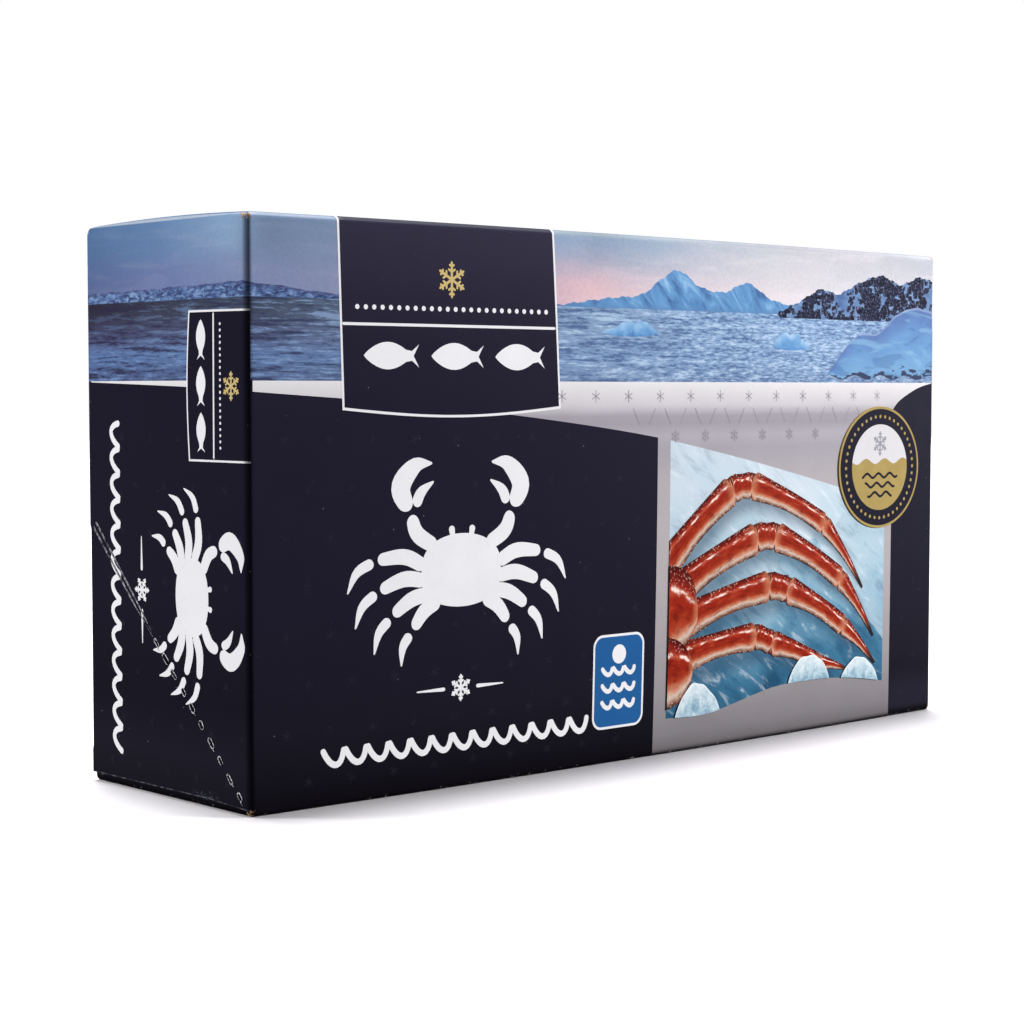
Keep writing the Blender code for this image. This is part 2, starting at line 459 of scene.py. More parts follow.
def printed(name, paint, wear=1.0, dust=1.0):
    """A varnished ink on the board; paint is the ink's colour, or paint(tree) gives it as a tone."""
    material = bpy.data.materials.new(name)
    material.use_nodes = True
    tree = material.node_tree
    colour = paint(tree) if callable(paint) else paint
    shared = put(tree, "Group", colour, wear, dust, node_tree=board_group).outputs
    bump = put(tree, "Bump", 0.25, 0.00004)
    tree.links.new(shared["Height"], bump.inputs["Height"])
    shader = tree.nodes["Principled BSDF"].inputs
    for label, socket in (("Base Color", shared["Colour"]), ("Roughness", shared["Roughness"]),
                          ("Normal", bump.outputs[0])):
        tree.links.new(socket, shader[label])
    shader["Specular IOR Level"].default_value = 0.11
    return material


def navy_ink(tree):
    """The dark blue that covers most of the blank.  Painted shade darkens it towards the base, most of
    all in front and less at the far end's foot, and a painted sheen pales it towards the top.  On the
    ends painted shade darkens the base, and a painted floor reflection lightens a band just above it.

    On the ends the flap's lower arris shows as a thin pale line, broken by scuffs.
    """
    place, x, y, z = on_board(tree)
    # Painted shade towards the base and painted sheen towards the top of the sleeve.
    sleeve = graded(
        z, 0.0, 170.0, (0, 13, 11, 16), (4, 16, 14, 21), (10, 20, 18, 27), (24, 26, 24, 36),
        (60, 29, 27, 42), (110, 31, 29, 45), (134, 35, 33, 49), (150, 41, 39, 56), (169, 49, 47, 65))
    # Less painted shade at the foot of the far end.
    far_foot = rise(x, 118.0, 130.0) * rise(z, 20.0, 9.0) * rise(z, 1.5, 4.0)
    sleeve = blend(far_foot, sleeve, ink(32, 30, 43))
    # The ends: painted shade at the base, and a painted floor reflection in a paler band above it.
    end = graded(
        z, 0.0, 110.0, (0, 9, 8, 12), (1.6, 14, 13, 18), (3.2, 25, 24, 33), (14, 29, 27, 38),
        (30, 23, 21, 32), (60, 27, 25, 38), (110, 28, 26, 40))
    foot = ramp(y, -side_at, 0.0, flap_foot_hinge * 1000, flap_foot * 1000 + 0.9)
    off = abs(z - smaller(foot, flap_foot * 1000) - 0.16)
    arris = rise(off, 0.24, 0.05) * ramp(grain(place, 0.35, 5.0), 0.46, 0.68, 0.10, 0.9)
    end = blend(arris, end, ink(112, 110, 120))
    scuff = rise(abs(y + 20.0), 8.0, 3.0) * rise(abs(z - 3.6), 1.8, 0.8)
    scuff = scuff * rise(grain(place, 1.1, 6.0, distortion=0.8), 0.52, 0.68)
    end = blend(scuff * 0.55, end, ink(96, 98, 114))
    return blend(abs(x) > end_at - 1.0, sleeve, end)


def landscape_ink(tree):
    """Winter sky over the sea, running round the carton in one band.

    The way is the distance round the carton from the middle of the front.  Sky and sea each grade
    by height, and mix from a dusky to a bright pair of ramps by the way round.  Ripples are noise
    drawn out sideways.  A low snowy coast rises above the horizon by a ramp over the way and noise.
    """
    place, x, y, z = on_board(tree)
    near, far = x < 1.0 - end_at, x > end_at - 1.0
    front_way = x + (y + side_at) * (far - near)
    back_way = 2 * (end_at + side_at) - x
    behind = (y > side_at - 1.0) * (z < top_at - 0.3) * (1.0 - larger(near, far))
    way = (back_way - front_way) * behind + front_way
    start, stop = -240.0, 560.0
    high_sky = graded(
        way, start, stop, (start, 82, 113, 154), (-202, 98, 128, 169), (-163, 134, 162, 195),
        (-150, 112, 132, 162), (-38, 145, 164, 192), (-24, 140, 158, 184), (-1, 157, 174, 196),
        (22, 181, 188, 204), (53, 193, 197, 206), (80, 202, 200, 207), (154, 190, 192, 202),
        (176, 170, 182, 204), (400, 116, 144, 176), (stop, 78, 108, 148))
    low_sky = graded(
        way, start, stop, (start, 86, 101, 143), (-202, 104, 119, 163), (-160, 126, 138, 176),
        (-130, 134, 142, 176), (-70, 190, 168, 188), (-30, 218, 184, 192), (20, 222, 206, 212),
        (90, 220, 216, 222), (154, 218, 214, 222), (176, 186, 186, 206), (400, 150, 150, 182),
        (stop, 84, 100, 142))
    drift = grain(place, 0.03, 3.0, (1.0, 1.0, 4.0))
    sky = blend(rise((drift - 0.5) * 10.0 + z, 150.0, 168.0), low_sky, high_sky)
    wisps = grain(place, 0.06, 6.0, (0.5, 0.5, 4.5), 0.5)
    bright_side = rise(way, -60.0, 60.0)
    wisp = rise(wisps, 0.5, 0.72) * ramp(bright_side, 0.0, 1.0, 0.05, 0.3)
    sky = blend(wisp, sky, ink(240, 230, 236))
    sky = blend(rise(grain(place, 1.1, 3.0), 0.45, 0.62) * 0.075, sky, ink(60, 76, 104))
    dusky = graded(
        z, 122.0, 148.0, (122, 76, 90, 128), (127, 80, 99, 142), (130.5, 90, 115, 162),
        (134, 76, 85, 123), (138.5, 63, 64, 92), (142, 50, 46, 64), (146, 44, 42, 56))
    bright = graded(z, 122.0, 148.0, (122, 128, 152, 186), (132, 136, 164, 200), (148, 146, 176, 213))
    span = graded(
        way, start, stop, (start, 0.0), (-202, 0.06), (-150, 0.14), (-120, 0.30), (-60, 0.68),
        (40, 0.92), (90, 1.0), (154, 0.9), (200, 0.6), (420, 0.1), (stop, 0.0))
    sea = blend(span, dusky, bright)
    swell = grain(place, 0.26, 6.0, (0.2, 0.2, 2.7), 0.3, 0.66)
    chop = grain(place, 0.8, 5.0, (0.38, 0.38, 1.9), 0.3, 0.66)
    ripple = made("Mix", ramp(bright_side, 0.0, 1.0, 0.3, 0.7), swell, chop)
    trough = blend(span, ink(46, 40, 66), ink(76, 104, 150))
    sea = blend(rise(ripple, 0.5, 0.42) * 0.85, sea, trough)
    crest = rise(ripple, 0.52, 0.59) * (span * 0.14 + 0.58)
    crest = crest * (rise(z, 127.0, 142.0) * rise(span, 0.16, 0.02) * -0.75 + 1.0)
    sea = blend(crest, sea, blend(span, ink(118, 150, 200), ink(198, 218, 240)))
    lift = graded(
        way, start, stop, (start, 0.28), (-200, 0.34), (-158, 0.42), (-146, 0.30), (-126, 0.10),
        (-100, 0.03), (220, 0.03), (300, 0.30), (stop, 0.28))
    lift = (lift + grain(place, 0.16, 4.0, (1.0, 1.0, 0.2)) * 0.16 - 0.06) * 10.0
    shore = grain(place, 0.62, 5.0, (0.6, 0.6, 1.5), 0.6, 0.62)
    land = graded(
        shore, 0.3, 0.7, (0.36, 52, 60, 94), (0.47, 74, 92, 136), (0.55, 98, 124, 170),
        (0.66, 134, 160, 200))
    above = z - horizon
    land = blend(rise(lift - above, 1.1, 0.3) * 0.55, land, ink(78, 80, 122))
    whole = blend(above > lift, blend(above > 0.0, sea, land), sky)
    # Painted shade: the front's top fold is multiplied by a ramp over x that is darkest near the
    # middle.
    painted_fold_shade = graded(
        x, -160.0, 160.0, (-46, 255, 255, 255), (-42, 255, 249, 230), (-24, 255, 244, 226),
        (-1, 255, 248, 239), (22, 234, 234, 230), (53, 221, 221, 223), (85, 220, 220, 222),
        (115, 234, 234, 236), (140, 250, 250, 250), (150, 255, 255, 255))
    on_fold = rise(z, 168.3, 169.0) * rise(z, 170.09, 170.03) * (y < 0.0)
    whole = blend(on_fold, whole, painted_fold_shade, "MULTIPLY")
    # Painted shade: the top panel turns a deeper blue, darker than the sky, against the bright lamp
    # overhead.
    return blend(rise(z, top_at - 0.14, top_at - 0.02) * 0.6, whole, ink(52, 84, 132))


def fibre_ink(tree):
    """Bare grey-white board on a cut edge, with its layers drawn out along the edge."""
    layers = grain(on_board(tree)[0], 1.4, 3.0, (3.0, 3.0, 0.6))
    return graded(layers, 0.3, 0.7, (0.3, 120, 104, 92), (0.5, 178, 168, 160), (0.7, 214, 208, 204))


navy = printed("navy_ink", navy_ink)
landscape = printed("landscape_ink", landscape_ink)
cut_board = printed("cut_board", fibre_ink, wear=0.0, dust=0.0)

turn = np.linspace(0.0, np.pi / 2, fold_steps + 1)
corner_start = height - flap_head - flap_corner
uprights = np.concatenate([
    [flap_foot + step_run, tear_foot - step_run, tear_foot],
    np.linspace(tear_foot, tear_height, 11)[1:-1],
    [tear_height - step_run, tear_height],
    np.linspace(tear_height, picture_foot, 7)[1:],
    np.linspace(picture_foot, corner_start, 7)[1:],
    np.linspace(corner_start, height - fold_radius, 4)[1:-1],
])
head_turn = np.arcsin(1.0 - flap_head / fold_radius)
lower_turn = turn[turn < head_turn - 0.03]
top_turn = np.concatenate([lower_turn, [head_turn, head_turn], turn[turn > head_turn + 0.03]])
levels = np.concatenate([fold_radius * (1 - np.cos(turn)), [flap_foot, flap_foot], uprights,
                         height - fold_radius * (1 - np.sin(top_turn))])
insets = np.concatenate([fold_radius * (1 - np.sin(turn)), np.zeros(2 + uprights.size),
                         fold_radius * (1 - np.cos(top_turn))])
feet = np.zeros(levels.size)
feet[turn.size:turn.size + 2] = 1.0
flap_from = turn.size + 1
flap_to = turn.size + 2 + uprights.size + lower_turn.size
flap_out = (np.arange(levels.size) >= flap_from) & (np.arange(levels.size) <= flap_to)
rings = carton_outlines(levels, insets, flap_out, feet)
columns = rings[0].shape[1]
wall_faces = quads(levels.size, columns, closed=True)

cap_x = np.linspace(-1.0, 1.0, 2 * panel_steps + 1) * (half_length - board - fold_radius)
cap_y = np.linspace(-1.0, 1.0, end_steps + 1) * (half_depth - fold_radius)
cap_grid = np.meshgrid(cap_x, cap_y, indexing="ij")
cap_size = cap_grid[0].size
cap_faces = quads(cap_x.size, cap_y.size, rings[0].size)
carton_points = np.concatenate([bellied(*rings).reshape(-1, 3),
                                bellied(*cap_grid, np.full(cap_grid[0].shape, height)).reshape(-1, 3),
                                bellied(*cap_grid, np.zeros(cap_grid[0].shape)).reshape(-1, 3)])
carton_faces = np.concatenate([wall_faces, cap_faces[:, ::-1], cap_faces + cap_size])

ring, column = np.divmod(np.arange(len(wall_faces)), columns)
fold_start = (panel_steps + 1) + (fold_steps + 1) + (end_steps - 1)
mirrored = np.where(column < columns // 2, column, columns - 1 - column)
rear_cut = (mirrored == fold_start) & (ring >= flap_from) & (ring < flap_to)
rim_cut = (ring == flap_from - 1) | (ring == flap_to)
wall_slots = np.where(rear_cut | rim_cut, 2, levels[ring] >= picture_foot - merging)
carton_slots = np.concatenate([wall_slots, np.ones(len(cap_faces)), np.zeros(len(cap_faces))])
carton = finished("carton_board", carton_points, carton_faces, carton_slots,
                  [navy, landscape, cut_board])
work = bmesh.new()
work.from_mesh(carton.data)
bmesh.ops.recalc_face_normals(work, faces=work.faces)
work.to_mesh(carton.data)
work.free()
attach(carton, "root")
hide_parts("carton")

# ---------------------------------------------------------------------------------------------
# The silver field of the front print: a strip under the landscape that widens to the right into a
# panel running down over the base fold.  A wave divides it from the dark blue.  All print is thin
# sheets that lie on the board, laid out in millimetres as on the flat blank.

ply = 0.03                   # millimetres between one layer of print and the next


def on_sleeve(across, girth, layer):
    """Places on the folded sleeve, from millimetres along the carton and millimetres of girth.

    On the front the girth is the height.  It runs on round the base fold below and over the top fold,
    the top panel and the back above: P = core(girth) + (r + layer) (-cos t, sin t), where t grows
    by a quarter turn over each fold.
    """
    x, girth, radius = across / 1000, girth / 1000, fold_radius + layer * ply / 1000
    arc = fold_radius * np.pi / 2
    flat = 2 * (half_depth - fold_radius)
    rise_end = height - fold_radius
    back_start = rise_end + flat + 2 * arc
    quarters = np.clip((girth - rise_end) / arc, 0, 1) + np.clip((girth - back_start + arc) / arc, 0, 1)
    turned = (quarters - np.clip((fold_radius - girth) / arc, 0, 1)) * np.pi / 2
    y = fold_radius - half_depth + np.clip(girth - rise_end - arc, 0, flat)
    y = y + np.clip(fold_radius - arc - girth, 0, flat)
    z = np.clip(girth, fold_radius, rise_end) - np.clip(girth - back_start, 0, rise_end - fold_radius)
    return bellied(x, y - radius * np.cos(turned), z + radius * np.sin(turned))


def smooth(points, count):
    """Catmull-Rom curve through a few points, bunched towards its two ends."""
    points = np.asarray(points, dtype=float)
    padded = np.vstack([2 * points[0] - points[1], points, 2 * points[-1] - points[-2]])
    at = (1 - np.cos(np.linspace(0, np.pi, count))) / 2 * (len(points) - 1)
    knot = np.minimum(at.astype(int), len(points) - 2)
    t = (at - knot)[:, None]
    a, b, c, d = (padded[knot + k] for k in range(4))
    square, cube = 2 * a - 5 * b + 4 * c - d, 3 * b - a - 3 * c + d
    return 0.5 * (2 * b + (c - a) * t + square * t**2 + cube * t**3)


def through(points, x):
    """Height at x of the smooth curve through some points."""
    path = smooth(points, 120)
    return np.interp(x, path[:, 0], path[:, 1])


def between(x, lower, upper, rows=6):
    """The sheet between two curves over x: z = lower + v (upper - lower), v even or as given."""
    share = np.linspace(0.0, 1.0, rows + 1) if np.ndim(rows) == 0 else np.asarray(rows)
    lower, upper = (np.broadcast_to(level, x.shape)[:, None] for level in (lower, upper))
    flat = 0 * lower + share
    return np.stack([x[:, None] + 0 * share, lower + share * (upper - lower), flat, flat])


def joined(*runs):
    """Even runs of numbers, each (start, stop, count), end to end, with a shared end given once."""
    return np.concatenate([np.linspace(*run)[min(index, 1):] for index, run in enumerate(runs)])


def pasted(name, place, *stacks, rim=True, slot="printed_board"):
    """A piece of print: each stack is (layer, material, sheets), and place puts sheets on a panel.

    A sheet holds across, up, along and over on a grid.  S(i, j) = place(across, up, layer), and a
    last ring of points drops to the board, so that its edge is closed.  Neighbours in a stack lie a
    hair apart, and sheets that would face into the carton are turned over.
    """
    points, faces, slots, values, start = [], [], [], [], 0
    middle = np.array([0.0, 0.0, height / 2])
    for number, (layer, _, sheets) in enumerate(stacks):
        for index, sheet in enumerate(sheets):
            lift = np.full(sheet.shape[1:], layer + 0.12 * (index % 6 + (index > 0)))
            if rim:
                sheet = np.pad(sheet, ((0, 0), (1, 1), (1, 1)), mode="edge")
                lift = np.pad(lift, 1)
            surface = place(sheet[0], sheet[1], lift)
            n, m = lift.shape[0] // 2 - 1, lift.shape[1] // 2 - 1
            sides = surface[n + 1, m] - surface[n, m], surface[n, m + 1] - surface[n, m]
            if np.dot(np.cross(sides[1], sides[0]), surface[n, m] - middle) > 0:
                surface, sheet = surface[::-1], sheet[:, ::-1]
            grid = quads(*lift.shape, start)
            start += lift.size
            points.append(surface.reshape(-1, 3))
            faces.append(grid[:, ::-1])
            slots.append(np.full(len(grid), number))
            values.append(sheet[2:].reshape(2, -1))
    values = np.concatenate(values, axis=1)
    item = finished(name, np.concatenate(points), np.concatenate(faces), np.concatenate(slots),
                    [stack[1] for stack in stacks], {"along": values[0], "over": values[1]})
    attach(item, "root")
    return item


picture_line = picture_foot * 1000
panel_end = (half_length - fold_radius) * 1000
wave_points = (-156.0, 120.0), (-82.0, 114.8), (-10.0, 106.7), (42.0, 97.7), (98.0, 85.9), (126.0, 79.9)
silver_left, silver_right = 2.1, 129.5
silver_foot = -0.9           # girth at which the panel ends, on the base fold
sweep_points = (129.1, 112.6), (133.6, 116.2), (141.2, 119.5), (148.0, 121.6), (156.0, 123.0)


def silver_ink(tree):
    """Silver-grey ink: almost white under the landscape and a dull band; then painted shade, a slow
    fall to the base and near black on the base fold.
    """
    place, _, _, z = on_board(tree)
    streaked = (grain(place, 0.10, 2.0, (0.3, 0.3, 3.0)) - 0.5) * 1.2 + z
    # Below about 20 mm the ramp is painted shade, falling to near black on the base fold.
    return graded(
        made("Mix", rise(z, 4.0, 10.0), z, streaked), 0.0, 123.0, (0.1, 10, 9, 14), (0.7, 32, 30, 34),
        (1.4, 86, 82, 86), (2.3, 110, 105, 109), (7, 128, 123, 128), (20, 148, 143, 147),
        (42, 165, 158, 162), (66, 175, 169, 172), (90, 174, 168, 173), (101, 162, 157, 166),
        (105.5, 172, 166, 176), (109.5, 157, 152, 162), (112, 160, 155, 164), (115.5, 200, 196, 202),
        (123, 226, 223, 226))


silver = printed("silver_ink", silver_ink)
strip_x = np.linspace(-panel_end, silver_left, 60)
panel_x = np.linspace(silver_left, silver_right, 48)
sweep_x = np.linspace(silver_right, panel_end, 20)
fold_girth = fold_radius * 1000
panel_rows = joined((silver_foot, fold_girth, 12), (fold_girth, picture_line, 50))
panel_rows = (panel_rows - silver_foot) / (picture_line - silver_foot)
pasted("silver_field", on_sleeve, (1, silver, [
    between(strip_x, through(wave_points, strip_x), picture_line, 4),
    between(panel_x, silver_foot, picture_line, panel_rows),
    between(sweep_x, through(sweep_points, sweep_x), picture_line, 4),
]))

# ---------------------------------------------------------------------------------------------
# The fine trellis printed on the silver and the faint stars on the dark blue: thin strokes of a
# slightly darker or lighter ink, in staggered rows.


def stroke(points, half_width, count=14, rows=2, curved=True, ends=True):
    """A line of ink with round ends: S(u, v) = C(u) + v w(u) N(u), v from -1 to 1.

    Near an end the half width is w sqrt(1 - (1 - s / (e w))^2), s being the way from that end and e
    the bluntness `ends`: 1 is a half round, less is squarer, and 0 is cut straight.
    """
    points = np.asarray(points, dtype=float)
    half_width = np.broadcast_to(np.asarray(half_width, dtype=float), len(points))
    shape = np.column_stack([points, half_width])
    if curved:
        path = smooth(shape, count)
    else:
        reach = np.linspace(0, 1, len(shape))
        at = (1 - np.cos(np.linspace(0, np.pi, count))) / 2
        path = np.column_stack([np.interp(at, reach, shape[:, k]) for k in range(3)])
    centre, width = path[:, :2], np.maximum(path[:, 2], 0.01)
    way = np.concatenate([[0.0], np.cumsum(np.linalg.norm(np.diff(centre, axis=0), axis=1))])
    if ends:
        near = np.clip(np.minimum(way, way[-1] - way) / (width * ends), 0.0, 1.0)
        width = width * np.sqrt(1.0 - (1.0 - near) ** 2)
    ahead = np.gradient(centre, axis=0)
    ahead = ahead / np.maximum(np.linalg.norm(ahead, axis=1), 1e-9)[:, None]
    over = np.linspace(-1.0, 1.0, rows + 1)
    offset = width[:, None] * over
    return np.stack([centre[:, :1] - ahead[:, 1:] * offset, centre[:, 1:] + ahead[:, :1] * offset,
                     (way / way[-1])[:, None] + 0 * over, over + 0 * way[:, None]])


def moved(sheets, across=0.0, up=0.0, turn=0.0, size=1.0):
    """The sheets scaled, turned anticlockwise by degrees, and set down at a place."""
    c, s = np.cos(np.radians(turn)) * size, np.sin(np.radians(turn)) * size
    return [np.stack([c * a - s * b + across, s * a + c * b + up, *rest]) for a, b, *rest in sheets]


def star(reach, half_width):
    """Three bars that cross in the middle."""
    bar = [stroke([(-reach, 0.0), (reach, 0.0)], half_width, 2, 1, False, False)]
    return [sheet for turn in (30, 90, 150) for sheet in moved(bar, turn=turn)]


def snowflake(reach, half_width):
    """Six arms, each with two pairs of side branches at sixty degrees."""
    arm = [stroke([(0.0, 0.0), (0.0, reach)], half_width, 6, 2, False)]
    for at, length in ((0.42, 0.30), (0.70, 0.22)):
        for turn in (60, -60):
            branch = [stroke([(0.0, 0.0), (0.0, reach * length)], half_width * 0.85, 6, 2, False)]
            arm += moved(branch, up=reach * at, turn=turn)
    return [sheet for turn in range(0, 360, 60) for sheet in moved(arm, turn=turn)]


def star_ink(tree):
    """The dark blue, made a little paler in patches."""
    share = ramp(grain(on_board(tree)[0], 0.55, 3.0), 0.35, 0.65, 0.02, 0.11)
    return blend(share, navy_ink(tree), ink(86, 84, 102))


trellis_grey = printed("trellis_grey", ink(148, 143, 153), dust=0.0)
star_blue = printed("star_blue", star_ink, dust=0.0)
cell = 14.6                  # pitch of the trellis along the carton
cell_top, cell_foot = 118.4, 105.2
trellis = []
for index in range(-10, 10):
    centre = index * cell + 3.0
    if through(wave_points, centre) < cell_top - 3.0 and centre < 120.0:
        trellis += moved(star(1.9, 0.13), centre, cell_top)
    beside = centre + cell / 2
    if through(wave_points, beside) < cell_foot - 1.5 and beside < 94.0:
        trellis += moved(snowflake(2.2, 0.14), beside, cell_foot)
    for end in (centre, centre + cell):
        lean = np.array([[beside, cell_foot], [end, cell_top]])
        dash = lean[0] + (lean[1] - lean[0]) * np.array([[0.30], [0.70]])
        clear = through(wave_points, dash[:, 0]).max() < cell_foot + 2.0
        if clear and dash[:, 0].max() < 118.0:
            trellis += [stroke(dash, 0.12, 2, 1, False, False)]
pasted("trellis", on_sleeve, (2, trellis_grey, trellis), rim=False)

star_pitch, star_rise = 15.2, 14.0
front_stars, end_stars = [], []
for row in range(9):
    level = 8.0 + row * star_rise
    shift = star_pitch / 2 * (row % 2)
    for step in range(-11, 11):
        spot = step * star_pitch + shift
        on_left = -152.0 < spot < silver_left - 3.0 and level < through(wave_points, spot) - 3.0
        on_right = 134.0 < spot < 153.0 and level < 112.0
        if on_left or on_right:
            front_stars += moved(star(1.7, 0.22), spot, level)
        if abs(spot) < 38.0 and level < 118.0:
            end_stars += moved(star(1.7, 0.22), spot, level)
pasted("faint_stars", on_sleeve, (1, star_blue, front_stars), rim=False)

# ---------------------------------------------------------------------------------------------
# Mountains, rocks, snow and ice in the printed landscape of the front panel: flat fields of ink
# over the printed sea and sky, each with a rough skyline and its own mix of noise.


def range_ink(tree):
    """Snow and blue shadow of a far range: noise whose folds run down the slopes to the left."""
    _, x, y, z = on_board(tree)
    slopes = grain(together(z * 0.8 + x, y, z), 0.14, 7.0, (1.0, 1.0, 0.6), 0.7, 0.66)
    snow = graded(
        slopes, 0.3, 0.75, (0.34, 66, 96, 146), (0.46, 88, 134, 184), (0.56, 106, 154, 202),
        (0.66, 142, 184, 220), (0.74, 182, 204, 230))
    return blend(rise(z, 149.0, 145.5), snow, ink(92, 134, 182))


def rock_ink(tree):
    """Dark rocks with snow lying between them."""
    place = on_board(tree)[0]
    drift = grain(place, 0.10, 4.0, (1.0, 1.0, 1.4), 0.8)
    bare = cells(stretched(place, (1.0, 1.0, 1.3)), 0.46, "CHEBYCHEV") * -0.42 + drift
    dark = graded(
        grain(place, 1.2, 2.0), 0.3, 0.7, (0.34, 14, 15, 26), (0.50, 34, 36, 58), (0.62, 66, 70, 98),
        (0.70, 126, 132, 166))
    snow = graded(drift, 0.3, 0.7, (0.3, 76, 106, 156), (0.6, 136, 166, 206))
    return blend(rise(bare, 0.24, 0.31), snow, dark)


def snow_bank_ink(tree):
    """A smooth bank of snow in blue shade, lit along its crest, with wet rock at its foot."""
    place, over = on_board(tree)[0], own(tree, "over")
    snow = graded(
        over * 0.62 + grain(place, 0.05, 3.0, (1.0, 1.0, 2.0), 0.6) * 0.5, 0.1, 1.0,
        (0.16, 116, 158, 196), (0.30, 118, 162, 203), (0.55, 106, 150, 198), (0.74, 98, 133, 186),
        (0.88, 92, 118, 171))
    bent = grain(place, 0.09, 5.0, (0.45, 0.45, 2.2), 0.9)
    snow = blend(rise(bent, 0.47, 0.41) * 0.42, snow, ink(70, 104, 156))
    snow = blend(rise(bent, 0.54, 0.66) * 0.42, snow, ink(150, 194, 222))
    snow = blend(rise(over, 0.955, 0.99) * 0.5, snow, ink(170, 184, 214))
    wet = over * 1.3 + grain(place, 0.42, 4.0, (0.5, 0.5, 1.6), 0.4)
    return blend(rise(wet, 0.60, 0.54), snow, ink(58, 66, 96))


def ice_field_ink(tree):
    """A berg of the landscape: pale on its shoulders, deep blue in its hollows and at the waterline."""
    facets = grain(on_board(tree)[0], 0.18, 4.0, (1.0, 1.0, 1.6), 0.8)
    return graded(
        own(tree, "over") * 0.35 + facets, 0.3, 1.1, (0.38, 70, 116, 170), (0.52, 98, 148, 200),
        (0.70, 124, 170, 214), (0.92, 158, 192, 226), (1.1, 190, 212, 236))


def skyline(points, x, crag):
    """A smooth curve through a few points, roughened by three sines of x that beat together."""
    rough = 0.5 * np.sin(x * 0.83 + 0.4) + 0.3 * np.sin(x * 2.1 + 1.0) + 0.2 * np.sin(x * 4.7)
    return through(points, x) + crag * rough


far_range, rock, snow_bank, ice_field = (
    printed(paint.__name__, paint, dust=0.3)
    for paint in (range_ink, rock_ink, snow_bank_ink, ice_field_ink))
range_x = np.linspace(-42.0, 84.0, 200)
range_points = ((-42, 146.8), (-20, 149.6), (-6, 151.0), (4, 156.6), (12, 159.4), (22, 154.4),
                (34, 153.0), (46, 156.4), (58, 151.4), (72, 149.0), (84, 147.0))
rock_x = np.linspace(62.0, panel_end, 160)
rock_points = ((62, 146.8), (74, 151.0), (86, 155.6), (96, 154.2), (108, 158.4), (122, 161.6),
               (134, 158.8), (146, 161.8), (155, 160.6))
bank_x = np.linspace(90.0, panel_end, 90)
bank_points = ((90, 125.8), (98, 133.4), (108, 140.0), (120, 140.8), (132, 147.8), (144, 150.6),
               (156, 149.0))
bank_foot = 124.9 - 0.8 * np.sin(bank_x * 0.4)
bergs = []
for left, right, foot, high, skew in ((60.0, 80.0, 135.0, 5.6, 0.7), (-24.0, 2.0, 138.4, 4.6, 1.4)):
    u = np.linspace(0.0, 1.0, 60)
    dome = high * np.sin(np.pi * u**skew) ** 0.75
    crags = 0.9 + (0.09 * np.sin(u * 17.0 + left) + 0.05 * np.sin(u * 41.0))
    bergs.append(between(left + (right - left) * u, foot - 0.9 * np.sin(np.pi * u),
                         foot + dome * crags, 12))
pasted("printed_hills", on_sleeve,
       (1, far_range, [between(range_x, horizon, skyline(range_points, range_x, 0.45), 10)]),
       (2, rock, [between(rock_x, horizon - 1.2, skyline(rock_points, rock_x, 0.55), 10)]),
       (3, snow_bank, [between(bank_x, bank_foot, skyline(bank_points, bank_x, 0.16), 16)]),
       (2, ice_field, bergs))

# ---------------------------------------------------------------------------------------------
# The label: a dark tab with a white outline that comes down over the top fold, a white rule, and
# plain ornaments in gold and white.

label_top = top_at + 34.0    # in girth, so 34 mm of it lie beyond the fold
label_foot = 114.6
label_sag = 2.4


def tab(inset, foot, columns=36):
    """The tab's sheet, its sides leaning out a little as they go down and its foot a shallow arc.

    Its rows stand close together where it goes round the top fold.
    """
    crease = top_at - fold_girth
    levels = joined((foot, crease, 30), (crease, crease + 2.6, 12), (crease + 2.6, label_top, 16))
    u, v = np.meshgrid(np.linspace(0, 1, columns), (levels - foot) / (label_top - foot), indexing="ij")
    near_foot = 1 - np.clip(v * (label_top - foot) / 40.0, 0, 1)
    girth = foot + v * (label_top - inset - foot) + (inset - label_sag * np.sin(np.pi * u)) * near_foot
    below = np.clip(top_at - girth, 0, None)
    left, right = -126.5 + inset + 0.030 * below, -44.2 - inset + 0.052 * below
    return np.stack([left + u * (right - left), girth, u, v])


def oval(centre_x, centre_z, half_wide, half_high, columns=40, rows=8):
    """x = -a cos(pi u), z = b (2 v - 1) sin(pi u), so the sheet has no pole in its middle."""
    u, v = np.meshgrid(np.linspace(0, 1, columns), np.linspace(0, 1, rows), indexing="ij")
    return np.stack([centre_x - half_wide * np.cos(np.pi * u),
                     centre_z + half_high * (2 * v - 1) * np.sin(np.pi * u), u, v])


def fish(length):
    """A plain fish: a lens of a body that narrows and flares to a notched tail."""
    u, v = np.meshgrid(np.linspace(0, 1, 40), np.linspace(-1, 1, 9), indexing="ij")
    body = 0.20 * np.sin(np.pi * np.clip(u / 0.86, 0, 1)) ** 0.8 * (u < 0.86)
    flare = np.clip((u - 0.76) / 0.24, 0, 1)
    notch = 0.10 * flare * (1 - np.abs(v))
    return moved([np.stack([u - 0.5 - notch, v * (body + 0.17 * flare**1.1), u, v])], size=length)


white_ink = printed("white_ink", ink(234, 233, 237), dust=0.0)
gold_ink = printed("gold_ink", ink(204, 180, 122), dust=0.0)
pasted("label", on_sleeve, (2, white_ink, [tab(0.0, label_foot)]), (3, navy, [tab(0.75, label_foot)]))
fish_level, rule_level, dot_level, flake_level = 130.4, 139.45, 144.4, 153.2
label_ink = [stroke([(-125.0, rule_level), (-43.6, rule_level)], 0.42, 24, 2, False)]
for index in range(3):
    label_ink += moved(fish(20.0), -107.4 + 24.6 * index, fish_level)
label_ink += [oval(-119.6 + 3.0 * index, dot_level, 0.75, 0.75, 8, 3) for index in range(25)]
pasted("label_ornaments", on_sleeve, (4, white_ink, label_ink),
       (4, gold_ink, moved(snowflake(5.6, 0.42), -85.0, flake_level)))

